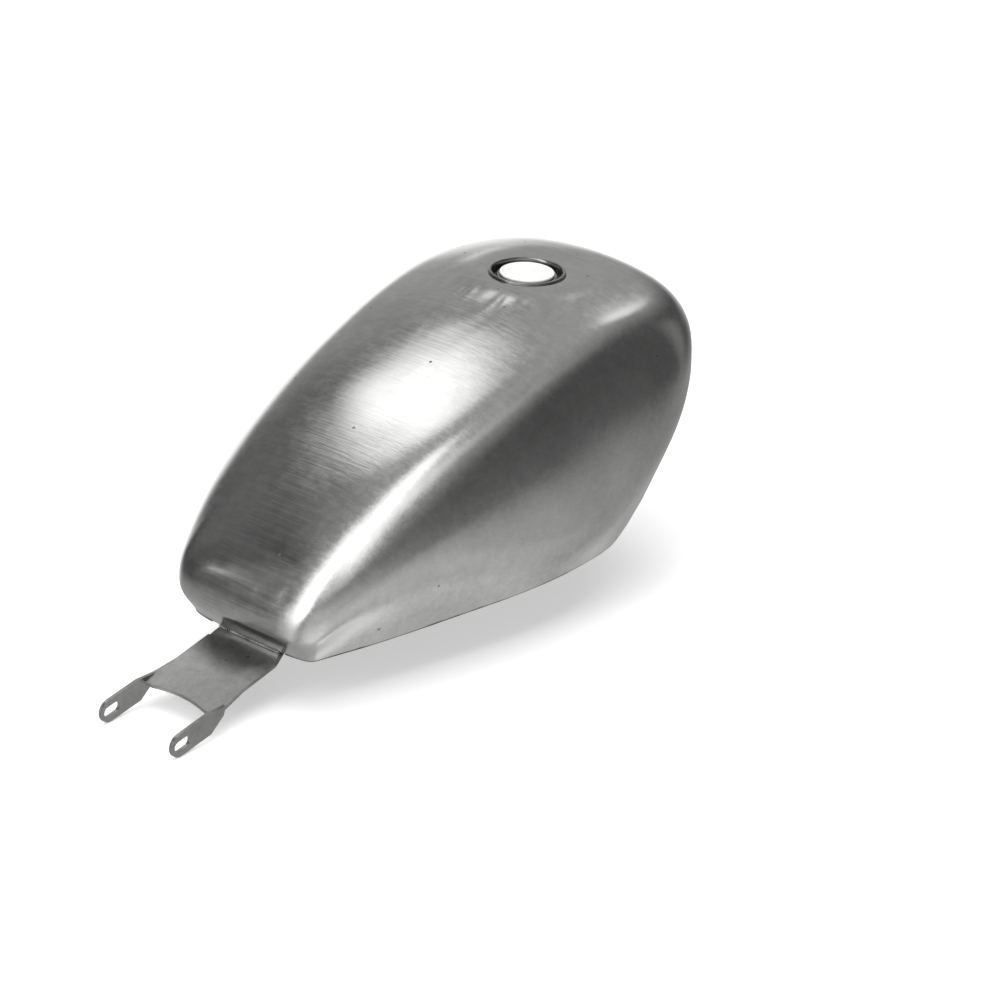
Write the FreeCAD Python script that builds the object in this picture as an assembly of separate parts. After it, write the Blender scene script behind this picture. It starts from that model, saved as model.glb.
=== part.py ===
import FreeCAD, Part
import math
import os

V = FreeCAD.Vector
UP = V(0, 0, 1)

# Every size is in millimetres. While the tank is built, x runs forward from the rear end of its body,
# +y is the bike's left and z is measured from the level of the lower rim. The finished pieces are then
# moved so that the centre of the front mounting bolt is the origin.

# Overall body
BODY_LENGTH = 480.0
BODY_WIDTH = 294.0
BODY_HEIGHT = 217.5
WALL = 1.2

# Half outline seen from above: control points as (share of length, share of half width), front to rear
OUTLINE = [(1, 0), (1, 0.34), (0.996, 0.673), (0.898, 0.932), (0.792, 1.027), (0.625, 0.986),
           (0.458, 0.946), (0.292, 0.837), (0.146, 0.707), (0.052, 0.571), (0, 0.51), (0, 0.238), (0, 0)]
# Side view lines: (share of length, share of height)
TOP_LINE = [(0, 0.263), (0.125, 0.453), (0.25, 0.622), (0.5, 0.866), (0.6875, 0.98), (0.83, 1.0), (1, 0.972)]
WIDEST_LINE = [(0, 0.05), (0.333, 0.29), (0.6875, 0.275), (0.896, 0.59), (1, 0.69)]
# Depth from the widest line to where the side is tucked in fully, in mm at each share of the length
DROP_LINE = [(0, 21), (0.333, 66), (0.6875, 60), (0.896, 52), (1, 66)]
TUCK_REAR = 12.5
TUCK = 16.0
SHOULDER_REAR = 70.0
SHOULDER_FRONT = 50.0
SHOULDER_POWER = 3.0
CROWN = 30.0
FLOOR_Z = -20.0
FILLER_FLAT = 34.0
FILLER_SINK = 2.2

# Lower rim in side view: a nearly level line with a ramp up to the nose
RIM_REAR_Z = -10.0
RIM_KNEE_Z = 5.2
RIM_FRONT_Z = 84.0
RIM_KNEE_SHARE = 0.694
RIM_FRONT_SHARE = 0.896
RIM_BLEND = 5.0

# Pans: how far the sheet stands above the rim's edge, the sloped band and the flat part
PAN_EDGE_UP = 1.0
PAN_BAND = 27.0
PAN_FLAT_Z = 22.0
PAN_UNDER_CEILING = 5.0
PAN_LAP = 3.0

# Tunnel over the frame's backbone
TUNNEL_WIDTH = 79.0
TUNNEL_CORNER = 15.0
TUNNEL_SLOPE = math.tan(math.radians(14.8))
TUNNEL_REAR_Z = -12.0
TUNNEL_LEG = 165.0
DIMPLE_R = 7.0
DIMPLE_LENGTH = 23.0
DIMPLE_X = (127.0, 308.0)
DIMPLE_IN = 2.5
DIMPLE_DOWN = 5.5

# Rear bracket: a cranked tongue with two slotted ears
PLATE = 3.0
TONGUE_LAP = 44.0
TONGUE_CRANK_X = 24.0
TONGUE_ROOT = (5.0, -17.5)
TONGUE_END = (-64.0, -31.0)
TONGUE_ARCH = 4.0
TONGUE_NECK_GAP = 1.0
EAR_SPACING = 78.0
EAR_BEND_R = 9.0
SLOT_X = -103.5
SLOT_Z = -43.0
SLOT_SLOPE = math.radians(9)
SLOT_LENGTH = 17.0
SLOT_WIDTH = 9.0
EAR_WIDTH = 20.0
EAR_BEYOND_SLOT = 12.0
EAR_ROOT_SHARE = 0.86
EAR_HEEL_SHARE = 0.9
EAR_TURN_SHARE = 1.12
EAR_SHOULDER_SHARE = 0.78
EAR_HEEL_DROP = 4.0

# Front ears
FRONT_BOLT_AHEAD = 65.0
FRONT_BOLT_Z = 92.0
FRONT_BOLT_HOLE = 8.8
FRONT_EAR_END_R = 13.0
FRONT_EAR_ROOT_HEIGHT = 30.0
FRONT_EAR_LAP = 46.0
FRONT_EAR_RISE = 4.0
FRONT_EAR_KINK_BACK = 2.0

# Filler
FILLER_FROM_FRONT = 118.0
NECK_BORE = 46.0
NECK_WALL = 2.0
CUP_FLOOR = 8.5
CUP_R = NECK_BORE / 2 + NECK_WALL + CUP_FLOOR
CUP_DEPTH = 9.0
CUP_LIP = 1.6
CUP_LIP_RISE = 1.0
EDGE = 0.8
NECK_LIP = 2.0
NECK_LIP_HEIGHT = 3.2
NECK_LENGTH = 27.0
NECK_BELOW_TOP = 2.6
PLUG_GAP = 0.3
PLUG_OVERLAP = 1.2
PLUG_HEAD_R = NECK_BORE / 2 + PLUG_OVERLAP
PLUG_HEAD = 2.4
PLUG_DEPTH = 14.0
PLUG_WALL = 1.6
PLUG_RIM = 3.2
PLUG_RECESS = 0.6
PLUG_TAPER = 1.5

# Pump opening in the left pan
PUMP_FROM_FRONT = 116.0
PUMP_TUNNEL_GAP = 1.0
PUMP_FRONT_R = 25.5
PUMP_REAR_R = 21.5
PUMP_LOBES_APART = 64.0
PUMP_NECK = 28.0
PUMP_RIM = 5.0
PUMP_Y = TUNNEL_WIDTH / 2 + PUMP_TUNNEL_GAP + PUMP_RIM + PUMP_FRONT_R
PUMP_BOLTS_X = 64.0
PUMP_BOLTS_Y = 46.0
PUMP_BOLTS_AHEAD = 29.0
PUMP_FIFTH_BACK = 95.0
FLANGE_THICK = 4.0
FLANGE_BELOW = 1.5
BOSS_R = 7.0
NUT_R = 6.0
NUT_HEIGHT = 9.0
NUT_CAP = 2.0
THREAD_R = 2.1

# Outlet in the right pan
OUTLET_FROM_FRONT = 180.0
OUTLET_TUNNEL_GAP = 12.5
DISH_R = 27.0
OUTLET_Y = -(TUNNEL_WIDTH / 2 + OUTLET_TUNNEL_GAP + DISH_R)
DISH_DROP = 3.0
BUNG_FLANGE_R = 17.5
BUNG_R = 13.0
BUNG_BORE_R = 8.5
BUNG_HEIGHT = 14.0
BUNG_BELOW = 5.0
BUNG_FLANGE_THICK = 2.2
DISH_SLOPE = 2.8
DISH_EDGE = 1.2
DISH_LAND = 2.0

# Vent
VENT_FROM_FRONT = 76.0
VENT_R = 4.0
VENT_BORE_R = 2.75
VENT_TOP_GAP = 20.0
NIPPLE_R = 5.5
NIPPLE_LENGTH = 12.0
NIPPLE_BARB = 2.5
NIPPLE_COLLAR = 3.0
VENT_BELOW_CEILING = 2.0

# Plug-welded disc in the tunnel near the rear
DISC_X = 34.0
DISC_R = 8.0
DISC_THICK = 2.0

HALF_WIDTH = BODY_WIDTH / 2
TUNNEL_HALF = TUNNEL_WIDTH / 2
FILLER_X = BODY_LENGTH - FILLER_FROM_FRONT
FRONT_BOLT_X = BODY_LENGTH + FRONT_BOLT_AHEAD
ORIGIN = V(FRONT_BOLT_X, 0, FRONT_BOLT_Z)
RING_R = 12.0
SPOKES = 48


# ---- lines and heights -------------------------------------------------------------------------

def spline_line(points, x_scale, z_scale):
    """A smooth line through (x, value) points, returned as a function of x."""
    places = [V(x * x_scale, 0, z * z_scale) for x, z in points]
    curve = Part.BSplineCurve()
    curve.interpolate(Points=places, Parameters=[p.x for p in places])
    first, last = places[0].x, places[-1].x
    return lambda x: curve.value(min(max(x, first), last)).z


top_line = spline_line(TOP_LINE, BODY_LENGTH, BODY_HEIGHT)
widest_line = spline_line(WIDEST_LINE, BODY_LENGTH, BODY_HEIGHT)
drop_line = spline_line(DROP_LINE, BODY_LENGTH, 1.0)


def soft_ramp(distance):
    """Zero before the corner, the distance itself well past it, and a smooth bend between."""
    t = distance / RIM_BLEND
    return distance if t > 30 else RIM_BLEND * math.log(1 + math.exp(t))


def rim_z(x):
    knee = RIM_KNEE_SHARE * BODY_LENGTH
    front = RIM_FRONT_SHARE * BODY_LENGTH
    level = RIM_REAR_Z + (RIM_KNEE_Z - RIM_REAR_Z) * x / knee
    slope = (RIM_FRONT_Z - RIM_KNEE_Z) / (front - knee)
    return level + slope * (soft_ramp(x - knee) - soft_ramp(x - front))


def ceiling_z(x):
    """Upper face of the tunnel's ceiling, which the tongue's upper face continues behind the body."""
    return TUNNEL_REAR_Z + TUNNEL_SLOPE * x


def smooth_step(t):
    t = min(max(t, 0.0), 1.0)
    return t * t * (3 - 2 * t)


def tuck_at(x):
    return TUCK_REAR + (TUCK - TUCK_REAR) * smooth_step(3 * x / BODY_LENGTH)


def half_outline():
    poles = [V(x * BODY_LENGTH, y * HALF_WIDTH, 0) for x, y in OUTLINE]
    curve = Part.BSplineCurve()
    curve.buildFromPoles(poles, False, 3)
    return curve


outline = half_outline()
outline_dots = outline.discretize(Number=160)


def outline_distance(x, y):
    """Distance in plan from a point to the half outline."""
    best = 1e9
    for a, b in zip(outline_dots, outline_dots[1:]):
        dx, dy = b.x - a.x, b.y - a.y
        t = ((x - a.x) * dx + (y - a.y) * dy) / (dx * dx + dy * dy)
        t = min(max(t, 0.0), 1.0)
        best = min(best, math.hypot(x - a.x - t * dx, y - a.y - t * dy))
    return best


# ---- body form ---------------------------------------------------------------------------------

def spoke_tables():
    """For each spoke from the outline to the filler's centre: outline point, inward normal, distances."""
    spokes = []
    for j in range(SPOKES + 1):
        t = outline.LastParameter * j / SPOKES
        start = outline.value(t)
        along = outline.tangent(t)[0]
        inward = V(along.y, -along.x, 0)
        if inward * (V(FILLER_X, 0, 0) - start) < 0:
            inward = -inward
        shares = [0.04 * k for k in range(25)]
        far = []
        for share in shares:
            p = start + (V(FILLER_X, 0, 0) - start) * share
            far.append(outline_distance(p.x, p.y))
        spokes.append((start, inward, shares, far))
    return spokes


def inset_on_spoke(spoke, wanted):
    """The point on a spoke at which wanted(point) equals its distance from the outline."""
    start, inward, shares, far = spoke
    centre = V(FILLER_X, 0, 0)
    for k in range(len(shares) - 1):
        a = start + (centre - start) * shares[k]
        b = start + (centre - start) * shares[k + 1]
        miss_a, miss_b = wanted(a) - far[k], wanted(b) - far[k + 1]
        if miss_b <= 0:
            t = miss_a / (miss_a - miss_b) if miss_a > miss_b else 0.0
            return a + (b - a) * min(max(t, 0.0), 1.0)
    return b


def eased(points, passes):
    """A contour whose corners are rounded by averaging neighbours; its ends stay on the mid-plane."""
    for _ in range(passes):
        ring = [V(points[1].x, -points[1].y, 0)] + points + [V(points[-2].x, -points[-2].y, 0)]
        points = [(ring[k] + ring[k + 1] * 2 + ring[k + 2]) * 0.25 for k in range(len(points))]
    return points


def filler_level():
    """Height of the flat ring that the filler sits in."""
    return top_line(FILLER_X) - FILLER_SINK


def shoulder_width(x):
    return SHOULDER_REAR + (SHOULDER_FRONT - SHOULDER_REAR) * x / BODY_LENGTH


def top_height(x, y):
    """Height of the top sheet, which is flat round the filler."""
    z = top_line(x) - CROWN * (y / HALF_WIDTH) ** 2
    away = math.hypot(x - FILLER_X, y)
    flat = filler_level()
    return flat + (z - flat) * smooth_step((away - CUP_R) / FILLER_FLAT)


def shoulder_rows(spokes, rows):
    """Rows of the shoulder, a superellipse between the upright side and the top sheet."""
    grid = []
    for k in range(rows + 1):
        angle = math.pi / 2 * k / rows
        c, s = max(math.cos(angle), 0.0), math.sin(angle)
        reach = (c ** SHOULDER_POWER + s ** SHOULDER_POWER) ** (-1 / SHOULDER_POWER)
        inset, rise = 1 - reach * c, reach * s
        places = [inset_on_spoke(spoke, lambda p: inset * shoulder_width(p.x)) for spoke in spokes]
        places = eased(places, round(10 * inset))
        row = []
        for spoke, p in zip(spokes, places):
            low = widest_line(spoke[0].x)
            row.append(V(p.x, p.y, low + (top_height(p.x, p.y) - low) * rise))
        grid.append(row)
    return grid


def top_rows(edge, rows):
    """Rows of the top sheet from the shoulder's upper edge to a small ring round the filler's centre."""
    grid = []
    for k in range(1, rows + 1):
        share = 1 - (1 - k / rows) ** 1.8
        row = []
        for p in edge:
            away = math.hypot(p.x - FILLER_X, p.y)
            ring = V(FILLER_X + (p.x - FILLER_X) * RING_R / away, p.y * RING_R / away, 0)
            q = V(p.x, p.y, 0) * (1 - share) + ring * share
            row.append(V(q.x, q.y, top_height(q.x, q.y)))
        grid.append(row)
    return grid


def skirt_rows(spokes, rows):
    """Rows below the widest line, tucked inward more and more down to the floor level."""
    grid = []
    for k in range(rows, 0, -1):
        share = (k / rows) ** 1.15
        row = []
        for start, inward, _, _ in spokes:
            low = widest_line(start.x)
            z = low + (FLOOR_Z - low) * share
            u = (low - z) / drop_line(start.x)
            p = start + inward * (tuck_at(start.x) * 2 * u * u / (1 + u * u))
            row.append(V(p.x, p.y, z))
        grid.append(row)
    return grid


def form_grid():
    """Points of the left half's outer face: rows from the floor up to the ring, columns front to rear."""
    spokes = spoke_tables()
    shoulder = shoulder_rows(spokes, 10)
    grid = skirt_rows(spokes, 9) + shoulder + top_rows(shoulder[-1], 10)
    for row in grid:
        row[0].y = 0.0
        row[-1].y = 0.0
    return grid


def mirrored(p):
    return V(p.x, -p.y, p.z)


def inner_grid(grid, wall):
    """The same grid moved inward along its normals by the wall."""
    rows, columns = len(grid), len(grid[0])
    inner = []
    for i in range(rows):
        row = []
        for j in range(columns):
            before = grid[i][j - 1] if j > 0 else mirrored(grid[i][1])
            after = grid[i][j + 1] if j < columns - 1 else mirrored(grid[i][columns - 2])
            below, above = grid[max(i - 1, 0)][j], grid[min(i + 1, rows - 1)][j]
            normal = (above - below).cross(after - before)
            if i == 0:
                normal.z = 0
            if i == rows - 1:
                normal = V(0, 0, -1)
            row.append(grid[i][j] + normal.normalize() * wall)
        row[0].y = 0.0
        row[-1].y = 0.0
        inner.append(row)
    return inner


def half_form(grid):
    """Closed solid of the left half under a grid of points."""
    surface = Part.BSplineSurface()
    surface.interpolate(grid)
    side = surface.toShape()
    first_u, last_u, first_v, last_v = surface.bounds()
    floor_edge = surface.uIso(first_u).toShape()
    ring_edge = surface.uIso(last_u).toShape()
    front_edge = surface.vIso(first_v).toShape()
    rear_edge = surface.vIso(last_v).toShape()
    floor_line = Part.makeLine(grid[0][0], grid[0][-1])
    ring_line = Part.makeLine(grid[-1][0], grid[-1][-1])
    floor = Part.Face(Part.Wire([floor_edge, floor_line]))
    ring = Part.Face(Part.Wire([ring_edge, ring_line]))
    middle = Part.Face(Part.Wire(Part.__sortEdges__([front_edge, ring_line, rear_edge, floor_line])))
    shell = Part.makeShell([side, floor, ring, middle])
    shell.sewShape()
    solid = Part.Solid(shell)
    if solid.Volume < 0:
        solid.reverse()
    return solid


def other_side(shape):
    return shape.mirror(V(0, 0, 0), V(0, 1, 0))


# ---- shared cutters ----------------------------------------------------------------------------

def below_line(height, drop):
    """Everything lower than a side-view line, less a drop, as one block across the body."""
    steps = [BODY_LENGTH * (k - 3) / 60 for k in range(67)]
    curve = Part.BSplineCurve()
    curve.interpolate([V(x, -HALF_WIDTH * 1.5, height(x) - drop) for x in steps])
    ends = [V(steps[0], -HALF_WIDTH * 1.5, -200), V(steps[-1], -HALF_WIDTH * 1.5, -200)]
    sides = Part.makePolygon([curve.StartPoint, ends[0], ends[1], curve.EndPoint])
    face = Part.Face(Part.Wire([curve.toShape()] + sides.Edges))
    return face.extrude(V(0, BODY_WIDTH * 1.5, 0))


def tunnel_block(inset):
    """The tunnel's space as a slanting block with rounded upper corners, inset all round."""
    x0 = -0.1 * BODY_LENGTH
    top = ceiling_z(x0) - inset
    half = TUNNEL_HALF - inset
    r = TUNNEL_CORNER - inset
    low = top - TUNNEL_LEG
    lean = r * (1 - math.sqrt(0.5))
    left = Part.Arc(V(x0, half, top - r), V(x0, half - lean, top - lean), V(x0, half - r, top))
    right = Part.Arc(V(x0, r - half, top), V(x0, lean - half, top - lean), V(x0, -half, top - r))
    edges = [Part.makeLine(V(x0, half, low), V(x0, half, top - r)), left.toShape(),
             Part.makeLine(V(x0, half - r, top), V(x0, r - half, top)), right.toShape(),
             Part.makeLine(V(x0, -half, top - r), V(x0, -half, low)),
             Part.makeLine(V(x0, -half, low), V(x0, half, low))]
    run = 1.2 * BODY_LENGTH
    return Part.Face(Part.Wire(edges)).extrude(V(run, 0, run * TUNNEL_SLOPE))


# ---- sheet metal -------------------------------------------------------------------------------

def half_shell(outer, inner):
    shell = outer.cut(inner)
    shell = shell.cut(below_line(rim_z, 0))
    shell = shell.cut(tunnel_block(0))
    hole = Part.makeCylinder(CUP_R, 60, V(FILLER_X, 0, filler_level() - 30))
    return shell.cut(hole)


def pan_z(x, y):
    """Lower face of the pan: level with the rim at its edge, flat beside the tunnel."""
    edge = rim_z(x) + PAN_EDGE_UP
    flat = min(PAN_FLAT_Z, max(ceiling_z(x) - PAN_UNDER_CEILING, RIM_REAR_Z + PAN_EDGE_UP))
    sign = 1 if x < BODY_LENGTH and y < outline_half(x) else -1
    inside = sign * outline_distance(min(max(x, 0), BODY_LENGTH), y) - tuck_at(x)
    return edge + (flat - edge) * smooth_step(inside / PAN_BAND)


def outline_half(x):
    """Half width of the body at a station."""
    best = 0.0
    for a, b in zip(outline_dots, outline_dots[1:]):
        if min(a.x, b.x) <= x <= max(a.x, b.x) and a.x != b.x:
            best = max(best, a.y + (b.y - a.y) * (x - a.x) / (b.x - a.x))
    return best


def left_pan_sheet(inner):
    columns = [BODY_LENGTH * k / 64 for k in range(65)]
    reach = HALF_WIDTH * 1.02 - TUNNEL_HALF
    rows = [TUNNEL_HALF + reach * k / 18 for k in range(19)]
    surface = Part.BSplineSurface()
    surface.interpolate([[V(x, y, pan_z(x, y)) for y in rows] for x in columns])
    return surface.toShape().extrude(V(0, 0, WALL)).common(inner)


def tunnel(outer):
    sheet = tunnel_block(0).cut(tunnel_block(WALL))
    sheet = sheet.cut(below_line(lambda x: pan_z(x, TUNNEL_HALF), PAN_LAP))
    half = sheet.common(outer)
    sheet = half.fuse(other_side(half)).removeSplitter()
    for x in DIMPLE_X:
        for side in (1, -1):
            sheet = sheet.fuse(dimple(x, side))
    vent = Part.makeCylinder(VENT_R, 40, V(vent_x(), 0, ceiling_z(vent_x()) - 20))
    return sheet.cut(vent)


def dimple(x, side):
    """A pressed dimple on the tunnel's corner, rounded at both ends and standing into the tunnel."""
    tilt = V(1, 0, TUNNEL_SLOPE).normalize()
    middle = V(x, side * (TUNNEL_HALF - WALL - DIMPLE_IN), ceiling_z(x) - WALL - DIMPLE_DOWN)
    straight = DIMPLE_LENGTH - 2 * DIMPLE_R
    start = middle - tilt * (straight / 2)
    body = Part.makeCylinder(DIMPLE_R, straight, start, tilt)
    body = body.fuse(Part.makeSphere(DIMPLE_R, start)).fuse(Part.makeSphere(DIMPLE_R, start + tilt * straight))
    return body.common(tunnel_block(WALL / 2))


# ---- brackets ----------------------------------------------------------------------------------

def rear_bracket():
    """Cranked tongue under the tunnel's ceiling, with an ear turned down at each side of its end."""
    half = EAR_SPACING / 2 + PLATE / 2
    neck = TUNNEL_HALF - WALL - TONGUE_NECK_GAP
    end_x = TONGUE_END[0]
    straight, flared = end_x * 0.5, end_x * EAR_ROOT_SHARE
    arch_half = EAR_SPACING / 2 - PLATE / 2 - EAR_BEND_R
    sides = Part.makePolygon([V(end_x - TONGUE_ARCH, -arch_half, 0), V(end_x - TONGUE_ARCH, -half, 0),
                              V(flared, -half, 0), V(straight, -neck, 0), V(TONGUE_LAP, -neck, 0),
                              V(TONGUE_LAP, neck, 0), V(straight, neck, 0), V(flared, half, 0),
                              V(end_x - TONGUE_ARCH, half, 0), V(end_x - TONGUE_ARCH, arch_half, 0)])
    arch = Part.Arc(V(end_x - TONGUE_ARCH, arch_half, 0), V(end_x, 0, 0), V(end_x - TONGUE_ARCH, -arch_half, 0))
    plan = Part.Face(Part.Wire([arch.toShape()] + sides.Edges))
    block = plan.extrude(V(0, 0, 300))
    block.translate(V(0, 0, -150))
    plate = block.common(tongue_layer(0, PLATE))
    covered = Part.makeBox(TONGUE_LAP, TUNNEL_WIDTH, 300, V(TONGUE_ROOT[0], -TUNNEL_HALF, -150))
    plate = plate.cut(covered).fuse(plate.common(covered).common(tunnel_block(WALL)))
    bracket = plate.fuse([rear_ear(1), rear_ear(-1)]).removeSplitter()
    bend = [e for e in bracket.Edges if is_bend_edge(e, half)]
    return bracket.makeFillet(PLATE * 0.9, bend) if bend else bracket


def is_bend_edge(edge, half):
    """The long upper edge where the tongue turns down into an ear."""
    box = edge.BoundBox
    on_side = min(abs(abs(box.YMin) - half), abs(abs(box.YMax) - half)) < 0.01 and box.YLength < 0.01
    on_top = abs(box.ZMax - tongue_top(box.XMax)) < 0.2 and abs(box.ZMin - tongue_top(box.XMin)) < 0.2
    return on_side and on_top and box.XLength > 5


def tongue_line():
    """Side view of the tongue's upper face, front to rear."""
    far = 1.5 * SLOT_X
    slope = (TONGUE_ROOT[1] - TONGUE_END[1]) / (TONGUE_ROOT[0] - TONGUE_END[0])
    rear = (far, TONGUE_END[1] + slope * (far - TONGUE_END[0]))
    lap, crank = TONGUE_LAP + 10, TONGUE_CRANK_X
    return [(lap, ceiling_z(lap) - WALL), (crank, ceiling_z(crank) - WALL), TONGUE_ROOT, rear]


def tongue_top(x):
    line = tongue_line()
    for (x1, z1), (x0, z0) in zip(line, line[1:]):
        if x >= x0:
            return z0 + (z1 - z0) * (x - x0) / (x1 - x0)
    return line[-1][1]


def tongue_layer(depth, thick):
    """The layer of the tongue's plate, or one below it, as wide as the tunnel and more."""
    upper = [V(x, -TUNNEL_WIDTH, z - depth) for x, z in tongue_line()]
    lower = [p - UP * thick for p in reversed(upper)]
    return Part.Face(Part.makePolygon(upper + lower + upper[:1])).extrude(V(0, 2 * TUNNEL_WIDTH, 0))


def rear_ear(side):
    """One ear: a strip from the tongue's corner back to its rounded, slotted end."""
    along = V(-math.cos(SLOT_SLOPE), 0, -math.sin(SLOT_SLOPE))
    across = V(-along.z, 0, along.x) * -1
    slot = V(SLOT_X, 0, SLOT_Z)
    r = EAR_WIDTH / 2
    tip = slot + along * (EAR_BEYOND_SLOT - r)
    shoulder = slot - along * ((TONGUE_END[0] - SLOT_X) * EAR_SHOULDER_SHARE) + across * r
    root_x, heel_x = TONGUE_END[0] * EAR_ROOT_SHARE, TONGUE_END[0] * EAR_HEEL_SHARE
    root = V(root_x, 0, tongue_top(root_x))
    heel = V(heel_x, 0, tongue_top(heel_x) - PLATE - EAR_HEEL_DROP)
    turn = V(TONGUE_END[0] * EAR_TURN_SHARE, 0, 0)
    turn.z = SLOT_Z - (SLOT_X - turn.x) * math.tan(SLOT_SLOPE) - r
    end = Part.Arc(tip - across * r, tip + along * r, tip + across * r)
    path = Part.makePolygon([tip + across * r, shoulder, root, heel, turn, tip - across * r])
    ear = Part.Face(Part.Wire([end.toShape()] + path.Edges)).extrude(V(0, PLATE, 0))
    ear = ear.cut(slot_cutter(slot, along, SLOT_LENGTH, SLOT_WIDTH))
    ear.translate(V(0, side * EAR_SPACING / 2 - PLATE / 2, 0))
    return ear


def slot_cutter(middle, along, length, width):
    """A slot through a plate that stands across the y axis."""
    y = V(0, 1, 0)
    reach = (length - width) / 2
    low = middle - y * 20
    ends = [Part.makeCylinder(width / 2, 60, low + along * (reach * s), y) for s in (1, -1)]
    across = V(-along.z, 0, along.x) * (width / 2)
    a, b = low - along * reach, low + along * reach
    bar = Part.Face(Part.makePolygon([a - across, b - across, b + across, a + across, a - across]))
    return bar.extrude(y * 60).fuse(ends)


def front_ear(side):
    """A plate on the tunnel's inner side that carries the front mounting bolt ahead of the body."""
    bolt = V(FRONT_BOLT_X, 0, FRONT_BOLT_Z)
    back = BODY_LENGTH - FRONT_EAR_LAP
    top = ceiling_z(back) - TUNNEL_CORNER
    r = FRONT_EAR_END_R
    rise = V(0, 0, r)
    nose = Part.Arc(bolt - rise, bolt + V(r, 0, 0), bolt + rise)
    root_front = BODY_LENGTH - FRONT_EAR_KINK_BACK
    path = Part.makePolygon([bolt + rise, V(root_front, 0, top + FRONT_EAR_RISE), V(back, 0, top),
                             V(back, 0, top - FRONT_EAR_ROOT_HEIGHT), V(root_front, 0, bolt.z - r),
                             bolt - rise])
    ear = Part.Face(Part.Wire([nose.toShape()] + path.Edges)).extrude(V(0, PLATE, 0))
    hole = Part.makeCylinder(FRONT_BOLT_HOLE / 2, 20, bolt - V(0, 5, 0), V(0, 1, 0))
    ear = ear.cut(hole)
    outside = TUNNEL_HALF - WALL
    ear.translate(V(0, outside - PLATE if side > 0 else -outside, 0))
    return ear


# ---- round pieces ------------------------------------------------------------------------------

def turned(points, x, y):
    """A piece turned about an upright axis from its half section, given as (radius, height) corners."""
    corners = [V(x + r, y, z) for r, z in points]
    face = Part.Face(Part.makePolygon(corners + corners[:1]))
    return face.revolve(V(x, y, 0), UP, 360)


def filler_cup():
    """Recess round the neck: a rounded lip, an upright wall and a flat floor that holds the neck."""
    top = filler_level()
    neck_r = NECK_BORE / 2 + NECK_WALL
    floor = top - CUP_DEPTH
    inner = CUP_R - CUP_LIP
    crest = top + CUP_LIP_RISE
    foot = top - WALL * 1.5
    section = [(CUP_R, foot), (CUP_R, crest - EDGE), (CUP_R - EDGE, crest), (inner, crest),
               (inner - EDGE, crest - EDGE), (inner - WALL, floor + WALL), (neck_r, floor + WALL),
               (neck_r, floor), (inner, floor), (CUP_R - EDGE, foot)]
    return turned(section, FILLER_X, 0)


def filler_neck():
    """Neck tube with a rolled lip that the plug sits on."""
    top = filler_level() - NECK_BELOW_TOP
    bore = NECK_BORE / 2
    out = bore + NECK_WALL
    lip, under = out + NECK_LIP, top - NECK_LIP_HEIGHT
    section = [(bore, top - NECK_LENGTH), (bore, top - EDGE), (bore + EDGE, top), (lip - EDGE, top),
               (lip, top - EDGE), (lip, under + EDGE), (lip - EDGE, under), (out, under),
               (out, top - NECK_LENGTH)]
    return turned(section, FILLER_X, 0)


def filler_plug():
    """Push-in plug: a slightly dished disc with a thin skirt that fits the neck."""
    seat = filler_level() - NECK_BELOW_TOP + PLUG_GAP
    skirt = NECK_BORE / 2 - PLUG_GAP
    top = seat + PLUG_HEAD
    end, rim = seat - PLUG_DEPTH, PLUG_HEAD_R - PLUG_RIM
    section = [(0, seat), (skirt - PLUG_WALL, seat), (skirt - PLUG_WALL, end), (skirt - EDGE, end),
               (skirt, end + PLUG_TAPER), (skirt, seat), (PLUG_HEAD_R, seat), (PLUG_HEAD_R, top - EDGE),
               (PLUG_HEAD_R - EDGE, top), (rim, top), (rim - EDGE, top - PLUG_RECESS), (0, top - PLUG_RECESS)]
    return turned(section, FILLER_X, 0)


# ---- pump opening ------------------------------------------------------------------------------

def pump_centre():
    return V(BODY_LENGTH - PUMP_FROM_FRONT, PUMP_Y, 0)


def pump_bolts():
    """The five bolt places: the corners of a rectangle, then one behind the rear lobe."""
    front = pump_centre() + V(PUMP_BOLTS_AHEAD, 0, 0)
    places = []
    for back in (0, PUMP_BOLTS_X):
        for side in (1, -1):
            places.append(front + V(-back, side * PUMP_BOLTS_Y / 2, 0))
    return places + [pump_centre() - V(PUMP_FIFTH_BACK, 0, 0)]


def two_lobes(grow, z, height):
    """Prism over the two round lobes and the waist between them."""
    front = pump_centre() + V(0, 0, z)
    rear = front - V(PUMP_LOBES_APART, 0, 0)
    waist = PUMP_NECK + 2 * grow
    bar = Part.makeBox(PUMP_LOBES_APART, waist, height, rear - V(0, waist / 2, 0))
    lobes = [Part.makeCylinder(PUMP_FRONT_R + grow, height, front),
             Part.makeCylinder(PUMP_REAR_R + grow, height, rear)]
    return bar.fuse(lobes).removeSplitter()


def flange_prism(z, height):
    """Outer shape of the pump flange: a rim round the lobes and a boss at each bolt."""
    shape = two_lobes(PUMP_RIM, z, height)
    for place in pump_bolts():
        shape = shape.fuse([Part.makeCylinder(BOSS_R, height, place + UP * z), boss_web(place, z, height)])
    return shape.removeSplitter()


def boss_web(place, z, height):
    """A tapering web from the nearer lobe's centre out to a boss."""
    front = pump_centre()
    rear = front - V(PUMP_LOBES_APART, 0, 0)
    hub = front if (place - front).Length < (place - rear).Length else rear
    across = (place - hub).cross(UP).normalize() * (BOSS_R * 0.95)
    corners = [place + across, place - across, hub - across * 2, hub + across * 2, place + across]
    web = Part.Face(Part.makePolygon(corners)).extrude(UP * height)
    web.translate(UP * z)
    return web


def pump_flange():
    low = PAN_FLAT_Z - FLANGE_BELOW
    flange = flange_prism(low, FLANGE_THICK).cut(two_lobes(0, low - 1, FLANGE_THICK + 2))
    for place in pump_bolts():
        flange = flange.cut(Part.makeCylinder(THREAD_R, FLANGE_THICK + 2, place + V(0, 0, low - 1)))
    return flange


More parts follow.
